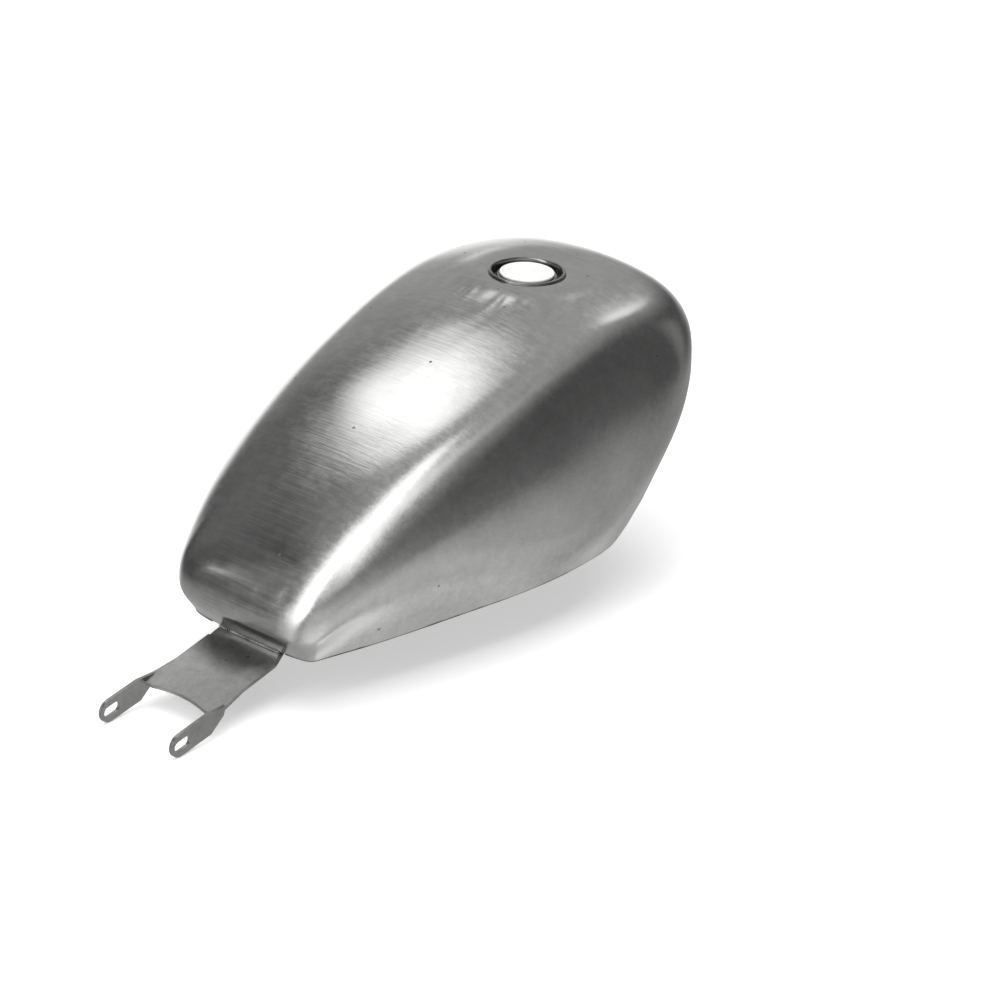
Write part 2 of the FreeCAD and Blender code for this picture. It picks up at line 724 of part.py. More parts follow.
def pump_weld_nuts():
    """Five blind nuts on the flange's inner face."""
    seat = PAN_FLAT_Z - FLANGE_BELOW + FLANGE_THICK
    nuts = []
    for place in pump_bolts():
        nut = Part.makeCylinder(NUT_R, NUT_HEIGHT, place + V(0, 0, seat))
        nuts.append(nut.cut(Part.makeCylinder(THREAD_R, NUT_HEIGHT - NUT_CAP, place + V(0, 0, seat))))
    return Part.makeCompound(nuts)


# ---- outlet, vent and disc ---------------------------------------------------------------------

def outlet_place():
    return BODY_LENGTH - OUTLET_FROM_FRONT, OUTLET_Y


def outlet_dish():
    """Pressed ring in the right pan, standing down round the outlet."""
    x, y = outlet_place()
    z = PAN_FLAT_Z
    low = z - DISH_DROP
    edge, land = DISH_R - DISH_EDGE, BUNG_FLANGE_R + DISH_LAND
    section = [(DISH_R, z), (DISH_R, z + WALL), (edge, z + WALL), (edge - DISH_SLOPE, low + WALL),
               (land, low + WALL), (BUNG_FLANGE_R, z), (BUNG_FLANGE_R, z - WALL), (land - WALL / 3, low),
               (edge - DISH_SLOPE - WALL / 2, low), (edge - WALL / 2, z)]
    return turned(section, x, y)


def outlet_bung():
    """Threaded bung for the outlet tap."""
    x, y = outlet_place()
    low = PAN_FLAT_Z - BUNG_BELOW
    seat = PAN_FLAT_Z - WALL
    back = seat + BUNG_FLANGE_THICK
    section = [(BUNG_BORE_R, low + EDGE), (BUNG_BORE_R + EDGE, low), (BUNG_R - EDGE, low), (BUNG_R, low + EDGE),
               (BUNG_R, seat), (BUNG_FLANGE_R, seat), (BUNG_FLANGE_R, back), (BUNG_R, back),
               (BUNG_R, low + BUNG_HEIGHT), (BUNG_BORE_R, low + BUNG_HEIGHT)]
    return turned(section, x, y)


def vent_x():
    return BODY_LENGTH - VENT_FROM_FRONT


def vent_tube():
    """Tube from the tunnel's ceiling up to the air space under the top."""
    x = vent_x()
    low = ceiling_z(x) - WALL - VENT_BELOW_CEILING
    high = top_line(x) - VENT_TOP_GAP
    section = [(VENT_BORE_R, low), (VENT_R, low), (VENT_R, high), (VENT_BORE_R, high)]
    return turned(section, x, 0)


def vent_nipple():
    """Barbed nipple under the tunnel's ceiling, for the vent hose."""
    x = vent_x()
    seat = ceiling_z(x) - WALL - VENT_BELOW_CEILING
    low = seat - NIPPLE_LENGTH
    barb, collar = low + NIPPLE_BARB, seat - NIPPLE_COLLAR
    section = [(VENT_BORE_R, low), (VENT_R, low), (NIPPLE_R - EDGE, barb), (VENT_R, barb),
               (VENT_R, collar), (NIPPLE_R, collar), (NIPPLE_R, seat), (VENT_BORE_R, seat)]
    return turned(section, x, 0)


def plug_weld_disc():
    """Disc welded under the tongue's front end."""
    layer = tongue_layer(PLATE, DISC_THICK)
    return layer.common(Part.makeCylinder(DISC_R, 60, V(DISC_X, 0, tongue_top(DISC_X) - 40)))


# ---- assembly ----------------------------------------------------------------------------------

def build():
    grid = form_grid()
    outer = half_form(grid)
    inner = half_form(inner_grid(grid, WALL))
    shell = half_shell(outer, inner)
    pan = left_pan_sheet(inner)
    through = 3 * FLANGE_THICK
    dish_hole = Part.makeCylinder(DISH_R, through, V(*outlet_place(), PAN_FLAT_Z - through / 2))
    return {
        "left_shell": shell,
        "right_shell": other_side(shell),
        "left_pan": pan.cut(flange_prism(PAN_FLAT_Z - through / 2, through)),
        "right_pan": other_side(pan).cut(dish_hole),
        "tunnel": tunnel(outer),
        "rear_bracket": rear_bracket(),
        "front_left_ear": front_ear(1),
        "front_right_ear": front_ear(-1),
        "filler_cup": filler_cup(),
        "filler_neck": filler_neck(),
        "filler_plug": filler_plug(),
        "pump_flange": pump_flange(),
        "pump_weld_nuts": pump_weld_nuts(),
        "outlet_dish": outlet_dish(),
        "outlet_bung": outlet_bung(),
        "vent_tube": vent_tube(),
        "vent_nipple": vent_nipple(),
        "plug_weld_disc": plug_weld_disc(),
    }


def main():
    os.makedirs("parts", exist_ok=True)
    for name, shape in build().items():
        shape.translate(-ORIGIN)
        shape.exportStep("parts/" + name + ".step")
        box = shape.BoundBox
        print(name, shape.isValid(), len(shape.Solids), "solids, box", box)


main()
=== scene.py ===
"""Looks of the motorcycle fuel tank: pressed and welded steel skins, pans, bracket, filler and fittings."""

import logging
import math
from dataclasses import dataclass, field
from enum import Enum
from typing import Callable

import bmesh
import bpy
import numpy as np
from mathutils import Matrix, Vector


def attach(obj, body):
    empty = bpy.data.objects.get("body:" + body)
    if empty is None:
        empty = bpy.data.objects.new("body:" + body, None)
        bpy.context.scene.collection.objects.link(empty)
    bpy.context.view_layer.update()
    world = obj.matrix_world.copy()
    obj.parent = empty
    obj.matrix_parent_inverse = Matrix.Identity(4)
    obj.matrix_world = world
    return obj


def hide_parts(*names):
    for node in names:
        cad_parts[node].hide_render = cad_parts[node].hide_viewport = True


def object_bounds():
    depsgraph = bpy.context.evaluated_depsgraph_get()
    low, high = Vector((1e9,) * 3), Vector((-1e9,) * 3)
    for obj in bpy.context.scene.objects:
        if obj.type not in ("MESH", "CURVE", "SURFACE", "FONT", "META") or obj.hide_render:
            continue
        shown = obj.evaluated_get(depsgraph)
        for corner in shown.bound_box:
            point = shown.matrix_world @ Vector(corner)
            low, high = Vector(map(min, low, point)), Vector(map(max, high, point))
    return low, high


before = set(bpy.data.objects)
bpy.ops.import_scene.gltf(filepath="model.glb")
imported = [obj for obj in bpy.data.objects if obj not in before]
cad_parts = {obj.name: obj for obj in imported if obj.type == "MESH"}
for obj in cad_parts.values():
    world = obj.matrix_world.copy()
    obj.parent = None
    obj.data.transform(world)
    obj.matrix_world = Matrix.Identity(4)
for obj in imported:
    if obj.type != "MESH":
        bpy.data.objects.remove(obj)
CAD_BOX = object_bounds()

log = logging.getLogger("fuel_tank")
MM = 0.001

# Shapes are worked out in millimetres in the tank's own frame, where x runs forward from the body's rear
# end and z starts at the level of the lower rim. BOLT is the front mounting bolt, the model's origin.
BOLT = np.array([545.0, 0.0, 92.0])

# A weld bead's ripples in millimetres apart, its rings per ripple and the points of each ring.
BEAD_PITCH = 2.4
BEAD_STEPS = 4
BEAD_SIDES = 10


# ---- small numeric tools ------------------------------------------------------------------------

def placed(points: np.ndarray) -> np.ndarray:
    """Points of the tank's own frame, in millimetres, as points of the model in metres."""
    return (np.asarray(points, float) - BOLT) * MM


def smooth_step(t: np.ndarray) -> np.ndarray:
    """0 below 0, 1 above 1, and 3t^2 - 2t^3 between."""
    t = np.clip(t, 0.0, 1.0)
    return t * t * (3 - 2 * t)


def bell(distance: np.ndarray, width: float) -> np.ndarray:
    """A bell curve, exp(-(distance / width)^2)."""
    return np.exp(-((distance / width) ** 2))


def unit(vectors: np.ndarray) -> np.ndarray:
    """Vectors along the last axis, each divided by its length."""
    return vectors / np.maximum(np.linalg.norm(vectors, axis=-1, keepdims=True), 1e-12)


def end_slope(knots: np.ndarray, values: np.ndarray) -> np.ndarray:
    """Slope at the first of four knots of the cubic through their values.

    Args:
        knots: Four parameters.
        values: Four rows of values.

    Returns:
        One row of slopes.
    """
    cubic = np.polynomial.polynomial.polyfit(knots - knots[0], values.reshape(4, -1), 3)
    return cubic[1].reshape(values.shape[1:])


def spline(knots: np.ndarray, values: np.ndarray, places: np.ndarray, closed: bool = False) -> np.ndarray:
    """Cubic spline through rows of values.

    The slopes at the knots solve the equations that keep the curvature continuous. At an open end the slope
    is that of the cubic through the four nearest knots, and a closed spline wraps round. Between knots each
    value is the Hermite cubic of its two neighbours.

    Args:
        knots: Rising parameters, one per row, and one more when the spline is closed.
        values: Rows to pass through.
        places: Parameters to read the spline at.
        closed: Whether the last row joins the first.

    Returns:
        One row per place.
    """
    rows = values.reshape(len(values), -1)
    if closed:
        rows = np.vstack([rows, rows[:1]])
    gaps = np.diff(knots)
    rises = np.diff(rows, axis=0) / gaps[:, None]
    count = len(rows)
    matrix, target = np.zeros((count, count)), np.zeros_like(rows)
    inner = np.arange(1, count - 1)
    matrix[inner, inner - 1] = gaps[1:]
    matrix[inner, inner] = 2 * (gaps[:-1] + gaps[1:])
    matrix[inner, inner + 1] = gaps[:-1]
    target[1:-1] = 3 * (rises[:-1] * gaps[1:, None] + rises[1:] * gaps[:-1, None])
    if closed:
        matrix[0, [0, 1, -2]] = 2 * (gaps[-1] + gaps[0]), gaps[-1], gaps[0]
        target[0] = 3 * (rises[-1] * gaps[0] + rises[0] * gaps[-1])
        matrix[-1, [0, -1]] = 1, -1
    else:
        matrix[0, 0] = matrix[-1, -1] = 1
        target[0] = end_slope(knots[:4], rows[:4])
        target[-1] = end_slope(knots[:-5:-1], rows[:-5:-1])
    slopes = np.linalg.solve(matrix, target)
    places = np.asarray(places, float)
    at = np.clip(np.searchsorted(knots, places.ravel(), side="right") - 1, 0, len(gaps) - 1)
    gap = gaps[at][:, None]
    t = (places.ravel()[:, None] - knots[at][:, None]) / gap
    here, there = rows[at], rows[at + 1]
    result = (here * (1 + 2 * t) * (1 - t) ** 2 + there * t * t * (3 - 2 * t)
              + slopes[at] * gap * t * (1 - t) ** 2 + slopes[at + 1] * gap * t * t * (t - 1))
    return result.reshape(places.shape + values.shape[1:])


def side_line(points: list[tuple[float, float]], x_scale: float, z_scale: float) -> Callable:
    """A smooth line through (x share, value share) points, as a function of x in millimetres."""
    table = np.array(points, float) * (x_scale, z_scale)
    return lambda x: spline(table[:, 0], table[:, 1], np.clip(x, table[0, 0], table[-1, 0]))


def clamped_curve(poles: np.ndarray, t: np.ndarray) -> np.ndarray:
    """Cubic B-spline that starts and ends on its outer poles, by the recurrence that builds each degree's
    basis from the degree below.

    Args:
        poles: Control points, one per row.
        t: Parameters from 0 to 1.

    Returns:
        Points, one per parameter.
    """
    knots = np.concatenate([np.zeros(3), np.linspace(0, 1, len(poles) - 2), np.ones(3)])
    t = np.clip(t, 0, 1 - 1e-12)[:, None]
    basis = ((knots[:-1] <= t) & (t < knots[1:])).astype(float)
    for degree in range(1, 4):
        rise = knots[degree:-1] - knots[:-degree - 1]
        fall = knots[degree + 1:] - knots[1:-degree]
        up = np.where(rise > 0, (t - knots[:-degree - 1]) / np.where(rise > 0, rise, 1), 0)
        down = np.where(fall > 0, (knots[degree + 1:] - t) / np.where(fall > 0, fall, 1), 0)
        basis = basis[:, :-1] * up + basis[:, 1:] * down
    return basis @ poles


def chord_knots(grid: np.ndarray, axis: int) -> np.ndarray:
    """Parameters along one axis of a grid of points: the mean share of the way along it.

    Args:
        grid: Rows and columns of points.
        axis: 0 to go up the rows, 1 along the columns.

    Returns:
        Rising numbers from 0 to 1.
    """
    steps = np.linalg.norm(np.diff(grid, axis=axis), axis=2)
    along = np.cumsum(steps, axis=axis)
    total = np.take(along, [-1], axis=axis)
    return np.concatenate([[0.0], (along / total).mean(axis=1 - axis)])


def way_along(path: np.ndarray) -> np.ndarray:
    """The distance along a path of straight runs at each of its points."""
    return np.concatenate([[0], np.cumsum(np.linalg.norm(np.diff(path, axis=0), axis=1))])


def path_points(path: np.ndarray, distances: np.ndarray) -> np.ndarray:
    """Points of a path of straight runs at distances along it."""
    way = way_along(path)
    return np.stack([np.interp(distances, way, column) for column in path.T], -1)


# ---- meshes -------------------------------------------------------------------------------------

def mesh_piece(name: str, points: np.ndarray, quads: np.ndarray, sharp: float = 35.0) -> bpy.types.Object:
    """A smooth-shaded mesh object from points in metres, turned so that its faces point outwards.

    Args:
        name: The piece's name.
        points: Vertices, one per row.
        quads: Four vertex numbers per face.
        sharp: Edges that bend by more degrees than this stay sharp.

    Returns:
        The new object, at the origin.
    """
    quads = outward(points, quads)
    mesh = bpy.data.meshes.new(name)
    mesh.vertices.add(len(points))
    mesh.vertices.foreach_set("co", points.astype(np.float32).ravel())
    mesh.loops.add(quads.size)
    mesh.loops.foreach_set("vertex_index", quads.astype(np.int32).ravel())
    mesh.polygons.add(len(quads))
    mesh.polygons.foreach_set("loop_start", np.arange(0, quads.size, 4, dtype=np.int32))
    mesh.update(calc_edges=True)
    mesh.validate()
    mesh.polygons.foreach_set("use_smooth", np.ones(len(mesh.polygons), bool))
    mesh.set_sharp_from_angle(angle=math.radians(sharp))
    piece = bpy.data.objects.new(name, mesh)
    bpy.context.scene.collection.objects.link(piece)
    return piece


def outward(points: np.ndarray, quads: np.ndarray) -> np.ndarray:
    """The quads, reversed if the volume that they enclose comes out negative.

    The volume is the sum over the faces' triangles of corner . (corner x corner) / 6.

    Args:
        points: Vertices, one per row.
        quads: Four vertex numbers per face.

    Returns:
        The quads with their faces outwards.
    """
    middle = points.mean(axis=0)
    a, b, c, d = (points[quads[:, k]] - middle for k in range(4))
    volume = (a * np.cross(b, c)).sum() + (a * np.cross(c, d)).sum()
    return quads if volume > 0 else quads[:, ::-1]


def grid_quads(rows: int, columns: int, wrap_rows: bool = False, wrap_columns: bool = False) -> np.ndarray:
    """Quads of a grid whose points are numbered row by row.

    Args:
        rows: Number of rows of points.
        columns: Number of columns of points.
        wrap_rows: Whether the last row joins the first.
        wrap_columns: Whether the last column joins the first.

    Returns:
        Four vertex numbers per cell.
    """
    i = np.arange(rows if wrap_rows else rows - 1)[:, None]
    j = np.arange(columns if wrap_columns else columns - 1)[None, :]
    i2, j2 = (i + 1) % rows, (j + 1) % columns
    corners = np.broadcast_arrays(i * columns + j, i * columns + j2, i2 * columns + j2, i2 * columns + j)
    return np.stack(corners, -1).reshape(-1, 4)


def sheet_quads(keep: np.ndarray, wrap: bool = False) -> np.ndarray:
    """Quads of a sheet with two faces, made of two grids of points numbered one after the other.

    Every kept cell has a quad on each face, and a wall quad wherever it meets a missing cell or the border.

    Args:
        keep: One truth per cell, rows by columns of cells.
        wrap: Whether the last column of points joins the first.

    Returns:
        Four vertex numbers per quad.
    """
    cell_rows, cell_columns = keep.shape
    columns = cell_columns if wrap else cell_columns + 1
    offset = (cell_rows + 1) * columns
    cells = grid_quads(cell_rows + 1, columns, wrap_columns=wrap).reshape(cell_rows, cell_columns, 4)
    padded = np.zeros((cell_rows + 2, cell_columns + 2), bool)
    padded[1:-1, 1:-1] = keep
    if wrap:
        padded[1:-1, 0], padded[1:-1, -1] = keep[:, -1], keep[:, 0]
    faces = [cells[keep], cells[keep][:, ::-1] + offset]
    sides = [(0, 1, (0, 1)), (1, 2, (1, 2)), (2, 1, (2, 3)), (1, 0, (3, 0))]
    for row, column, (a, b) in sides:
        neighbour = padded[row:row + cell_rows, column:column + cell_columns]
        edge = cells[keep & ~neighbour]
        faces.append(np.stack([edge[:, b], edge[:, a], edge[:, a] + offset, edge[:, b] + offset], -1))
    return np.concatenate(faces)


def used_only(points: np.ndarray, quads: np.ndarray) -> tuple[np.ndarray, np.ndarray]:
    """The points that some quad uses, and the quads renumbered to match."""
    used, renumbered = np.unique(quads, return_inverse=True)
    return points[used], renumbered.reshape(quads.shape)


def grid_normals(grid: np.ndarray, wrap: bool = False) -> np.ndarray:
    """Unit normals of a grid of points: the cross product of its two central differences.

    Args:
        grid: Rows and columns of points.
        wrap: Whether the last column joins the first.

    Returns:
        One unit vector per point.
    """
    along = np.gradient(grid, axis=0)
    if wrap:
        across = (np.roll(grid, -1, axis=1) - np.roll(grid, 1, axis=1)) / 2
    else:
        across = np.gradient(grid, axis=1)
    return unit(np.cross(along, across))


def rounded_profile(corners: list[tuple[float, float]], radius: float, steps: int = 4) -> np.ndarray:
    """A closed profile with its corners rounded.

    Each corner becomes a quadratic Bezier arc that starts and ends on its two sides, up to the radius or a
    bit under half the side away.

    Args:
        corners: (radius, height) corners in order.
        radius: Rounding distance along each side.
        steps: Segments per corner.

    Returns:
        Points of the rounded profile.
    """
    here = np.array(corners, float)
    before, after = np.roll(here, 1, axis=0), np.roll(here, -1, axis=0)

    def towards(other: np.ndarray) -> np.ndarray:
        """The point on the side to another corner where the arc starts.

        Args:
            other: The corner before or after each corner.

        Returns:
            One point per corner.
        """
        side = other - here
        length = np.linalg.norm(side, axis=1, keepdims=True)
        return here + side / length * np.minimum(radius, 0.45 * length)

    t = np.linspace(0, 1, steps + 1)[None, :, None]
    first, last = towards(before)[:, None], towards(after)[:, None]
    arcs = first * (1 - t) ** 2 + here[:, None] * 2 * t * (1 - t) + last * t ** 2
    return arcs.reshape(-1, 2)


def turned_piece(name: str, profile: np.ndarray, centre: tuple[float, float], segments: int = 128
                 ) -> bpy.types.Object:
    """A closed profile turned about an upright axis.

    Args:
        name: The piece's name.
        profile: (radius, height) points of a closed profile, in millimetres.
        centre: The axis, as x and y in the tank's own frame.
        segments: Steps round the axis.

    Returns:
        The new object.
    """
    angle = np.linspace(0, 2 * np.pi, segments, endpoint=False)[None, :]
    radius, height = profile[:, :1], profile[:, 1:] + 0 * angle
    grid = np.stack([centre[0] + radius * np.cos(angle), centre[1] + radius * np.sin(angle), height], -1)
    quads = grid_quads(len(profile), segments, wrap_rows=True, wrap_columns=True)
    return mesh_piece(name, placed(grid.reshape(-1, 3)), quads)


def bead(name: str, path: np.ndarray, radius: float, ripple: float = 0.14, flat: float = 1.0,
         up: tuple[float, float, float] = (0.0, 0.0, 1.0)) -> bpy.types.Object:
    """A weld bead: a ring carried along a path, swelling at every ripple of the weld pool.

    The ring's radius is r (1 + a |sin(pi s / pitch)| - a / 2 + slow drift), with s the way along the path,
    and it falls as the square root of the distance within 1.5 r of each end.

    Args:
        name: The piece's name.
        path: Points of the path in millimetres.
        radius: Mean radius of the bead.
        ripple: Depth of the ripples as a share of the radius.
        flat: Height of the bead's section against its width.
        up: Direction of the section's height.

    Returns:
        The new object.
    """
    length = way_along(path)[-1]
    count = max(8, int(length / BEAD_PITCH * BEAD_STEPS))
    s = np.linspace(0, length, count)
    line = path_points(path, s)
    along = unit(np.gradient(line, axis=0))
    side = unit(np.cross(along, np.broadcast_to(up, along.shape)))
    rise = np.cross(side, along)
    drift = 0.08 * np.sin(s / 11) + 0.05 * np.sin(s / 3.7)
    swell = 1 + ripple * (np.abs(np.sin(np.pi * s / BEAD_PITCH)) - 0.5) + drift
    size = radius * swell * np.sqrt(np.clip(np.minimum(s, length - s) / (1.5 * radius), 0.01, 1))
    angle = np.linspace(0, 2 * np.pi, BEAD_SIDES, endpoint=False)
    ring = side[:, None] * np.cos(angle)[None, :, None] + rise[:, None] * (flat * np.sin(angle))[None, :, None]
    grid = line[:, None] + ring * size[:, None, None]
    quads = np.concatenate([grid_quads(count, BEAD_SIDES, wrap_columns=True), end_quads(count, BEAD_SIDES)])
    return mesh_piece(name, placed(grid.reshape(-1, 3)), quads, sharp=60)


def end_quads(rows: int, columns: int) -> np.ndarray:
    """Quads that close both ends of a tube of rings, as a strip across the ring.

    Args:
        rows: Number of rings.
        columns: Number of points in a ring, an even one.

    Returns:
        Four vertex numbers per quad.
    """
    k = np.arange(columns // 2 - 1)
    first = np.stack([k, k + 1, columns - 2 - k, columns - 1 - k], -1)
    return np.concatenate([first, first[:, ::-1] + (rows - 1) * columns])


# ---- the body's form ----------------------------------------------------------------------------

@dataclass(frozen=True)
class BodyForm:
    """The tank's outer form, which the skins, pans, tunnel and beads are all fitted to.

    A half outline seen from above is inset along spokes that run to the filler's centre. Heights follow three
    side-view lines: the top, the widest line and the depth below it at which the side is tucked in.
    """

    length: float = 480.0
    half_width: float = 147.0
    height: float = 217.5
    wall: float = 1.2
    tuck_rear: float = 12.5
    tuck: float = 16.0
    shoulder_rear: float = 70.0
    shoulder_front: float = 50.0
    power: float = 3.0
    crown: float = 30.0
    floor: float = -20.0
    filler_x: float = 362.0
    cup_radius: float = 33.5
    filler_flat: float = 34.0
    filler_sink: float = 2.2
    ring: float = 12.0
    spokes: int = 48
    tunnel_half: float = 39.5
    tunnel_corner: float = 15.0
    tunnel_slope: float = math.tan(math.radians(14.8))
    tunnel_rear_z: float = -12.0
    pan_flat: float = 22.0
    pan_band: float = 27.0
    outline_poles: tuple = ((1, 0), (1, .34), (.996, .673), (.898, .932), (.792, 1.027), (.625, .986),
                            (.458, .946), (.292, .837), (.146, .707), (.052, .571), (0, .51), (0, .238), (0, 0))
    top_points: tuple = ((0, .263), (.125, .453), (.25, .622), (.5, .866), (.6875, .98), (.83, 1), (1, .972))
    widest_points: tuple = ((0, .05), (.333, .29), (.6875, .275), (.896, .59), (1, .69))
    drop_points: tuple = ((0, 21), (.333, 66), (.6875, 60), (.896, 52), (1, 66))
    rim_heights: tuple = (-10.0, 5.2, 84.0)
    rim_shares: tuple = (0.694, 0.896)
    rim_blend: float = 5.0
    spoke_steps: int = 25
    spoke_step: float = 0.04
    skirt_rows: int = 9
    skirt_gather: float = 1.15
    shoulder_rows: int = 11
    top_rows: int = 10
    top_gather: float = 1.8

    def outline(self, t: np.ndarray) -> np.ndarray:
        """Points of the half outline in plan, front to rear, at parameters from 0 to 1."""
        return clamped_curve(np.array(self.outline_poles) * (self.length, self.half_width), t)

    def distance(self, points: np.ndarray) -> np.ndarray:
        """Distance in plan from points to the half outline: the least over its short straight runs.

        Args:
            points: Points in plan; further coordinates are left out.

        Returns:
            One distance per point.
        """
        dots = self.outline(np.linspace(0, 1, 240))
        run = np.diff(dots, axis=0)
        away = points[..., None, :2] - dots[:-1]
        share = np.clip((away * run).sum(-1) / (run ** 2).sum(-1), 0, 1)
        return np.linalg.norm(away - share[..., None] * run, axis=-1).min(-1)

    def top_line(self, x: np.ndarray) -> np.ndarray:
        """Height of the top along the mid-plane."""
        return side_line(self.top_points, self.length, self.height)(x)

    def widest_line(self, x: np.ndarray) -> np.ndarray:
        """Height at which the body is widest."""
        return side_line(self.widest_points, self.length, self.height)(x)

    def drop(self, x: np.ndarray) -> np.ndarray:
        """Depth below the widest line at which the side is tucked in by its full tuck."""
        return side_line(self.drop_points, self.length, 1.0)(x)

    def tuck_at(self, x: np.ndarray) -> np.ndarray:
        """How far the side is tucked in at its lower edge."""
        return self.tuck_rear + (self.tuck - self.tuck_rear) * smooth_step(3 * x / self.length)

    def rim(self, x: np.ndarray) -> np.ndarray:
        """Height of the lower rim: a nearly level line, a ramp up to the nose, and a level end.

        Each corner is the soft ramp b ln(1 + exp(distance / b)).

        Args:
            x: Places along the body.

        Returns:
            Heights.
        """
        rear_z, knee_z, front_z = self.rim_heights
        knee, front = (share * self.length for share in self.rim_shares)
        slope = (front_z - knee_z) / (front - knee)
        bend = [self.rim_blend * np.logaddexp(0, (x - at) / self.rim_blend) for at in (knee, front)]
        return rear_z + (knee_z - rear_z) * x / knee + slope * (bend[0] - bend[1])

    def ceiling(self, x: np.ndarray) -> np.ndarray:
        """Height of the tunnel's upper face."""
        return self.tunnel_rear_z + self.tunnel_slope * x

    def filler_level(self) -> float:
        """Height of the flat ring that the filler sits in."""
        return float(self.top_line(np.array(self.filler_x))) - self.filler_sink

    def top_height(self, x: np.ndarray, y: np.ndarray) -> np.ndarray:
        """Height of the top sheet: the top line less a crown, blended to a flat round the filler.

        Args:
            x: Places along the body.
            y: Places across it.

        Returns:
            Heights.
        """
        level = self.top_line(x) - self.crown * (y / self.half_width) ** 2
        away = np.hypot(x - self.filler_x, y)
        flat = self.filler_level()
        return flat + (level - flat) * smooth_step((away - self.cup_radius) / self.filler_flat)

    def pan_height(self, x: np.ndarray, y: np.ndarray) -> np.ndarray:
        """Height of a pan's lower face: the rim's at its edge, rising in a sloped band to a flat.

        Args:
            x: Places along the body.
            y: Places across it.

        Returns:
            Heights.
        """
        edge = self.rim(x) + 1.0
        flat = np.minimum(self.pan_flat, np.maximum(self.ceiling(x) - 5, self.rim_heights[0] + 1))
        inside = self.distance(np.stack([x, np.abs(y)], -1)) - self.tuck_at(x)
        return edge + (flat - edge) * smooth_step(inside / self.pan_band)

    def half_grid(self) -> np.ndarray:
        """Guide points of the left half: rows from the floor up to a ring, columns front to rear.

        Returns:
            A grid of points, rows by columns.
        """
        t = np.linspace(0, 1, self.spokes + 1)
        start = self.outline(t)
        along = unit(self.outline(t + 1e-4) - self.outline(t - 1e-4))
        inward = np.stack([along[:, 1], -along[:, 0]], -1)
        centre = np.array([self.filler_x, 0.0])
        inward *= np.sign((inward * (centre - start)).sum(-1, keepdims=True))
        shares = self.spoke_step * np.arange(self.spoke_steps)
        places = start[:, None] + (centre - start)[:, None] * shares[None, :, None]
        far = self.distance(places)
        low = self.widest_line(start[:, 0])
        rows = [self.skirt_row(start, inward, low, (k / self.skirt_rows) ** self.skirt_gather)
                for k in range(self.skirt_rows, 0, -1)]
        rows += [self.shoulder_row(places, far, low, angle)
                 for angle in np.linspace(0, np.pi / 2, self.shoulder_rows)]
        edge = rows[-1][:, :2]
        ring = centre + unit(edge - centre) * self.ring
        for k in range(1, self.top_rows + 1):
            share = 1 - (1 - k / self.top_rows) ** self.top_gather
            plan = edge * (1 - share) + ring * share
            rows.append(np.column_stack([plan, self.top_height(plan[:, 0], plan[:, 1])]))
        grid = np.stack(rows)
        grid[:, [0, -1], 1] = 0
        return grid

    def tucked(self, x: np.ndarray, depth: np.ndarray) -> np.ndarray:
        """How far the side has moved inward: tuck * 2u^2 / (1 + u^2), with u the share of the drop.

        Args:
            x: Places along the body.
            depth: Depths below the widest line.

        Returns:
            Distances inward from the outline.
        """
        u = depth / self.drop(x)
        return self.tuck_at(x) * 2 * u * u / (1 + u * u)

    def skirt_row(self, start: np.ndarray, inward: np.ndarray, low: np.ndarray, share: float) -> np.ndarray:
        """A row of the tucked side.

        Args:
            start: The outline's points in plan.
            inward: The outline's inward normals.
            low: Height of the widest line at each point.
            share: How far down towards the floor the row lies.

        Returns:
            Points of the row.
        """
        z = low + (self.floor - low) * share
        return np.column_stack([start + inward * self.tucked(start[:, 0], low - z)[:, None], z])

    def shoulder_row(self, places: np.ndarray, far: np.ndarray, low: np.ndarray, angle: float) -> np.ndarray:
        """A row of the shoulder, whose section is a superellipse |a|^n + |b|^n = 1.

        Args:
            places: Points along each spoke.
            far: Their distances from the outline.
            low: Height of the widest line at each spoke.
            angle: 0 at the upright side and a quarter turn at the top sheet.

        Returns:
            Points of the row.
        """
        c, s = max(math.cos(angle), 0.0), math.sin(angle)
        reach = (c ** self.power + s ** self.power) ** (-1 / self.power)
        inset, rise = 1 - reach * c, reach * s
        x = places[..., 0]
        wide = self.shoulder_rear + (self.shoulder_front - self.shoulder_rear) * x / self.length
        miss = inset * wide - far
        k = np.argmax(miss[:, 1:] <= 0, axis=1)
        spoke = np.arange(len(places))
        here, there = miss[spoke, k], miss[spoke, k + 1]
        t = np.clip(np.where(here > there, here / np.where(here > there, here - there, 1), 0), 0, 1)[:, None]
        plan = places[spoke, k] * (1 - t) + places[spoke, k + 1] * t
        for _ in range(round(10 * inset)):
            ring = np.vstack([plan[1] * (1, -1), plan, plan[-2] * (1, -1)])
            plan = (ring[:-2] + ring[1:-1] * 2 + ring[2:]) / 4
        level = self.top_height(plan[:, 0], plan[:, 1])
        return np.column_stack([plan, low + (level - low) * rise])

    def surface(self, columns: np.ndarray, rows: np.ndarray) -> np.ndarray:
        """The whole form, both sides, as a spline through its guide points.

        Args:
            columns: Shares of the way round, from the front through the left side and back.
            rows: Shares of the way up from the floor to the ring at the filler.

        Returns:
            A grid of points, rows by columns.
        """
        half = self.half_grid()
        whole = np.concatenate([half, half[:, -2:0:-1] * (1, -1, 1)], axis=1)
        up = chord_knots(whole, 0)
        around = chord_knots(np.concatenate([whole, whole[:, :1]], axis=1), 1)
        ringed = spline(around, whole.transpose(1, 0, 2), columns, closed=True)
        return spline(up, ringed.transpose(1, 0, 2), rows)

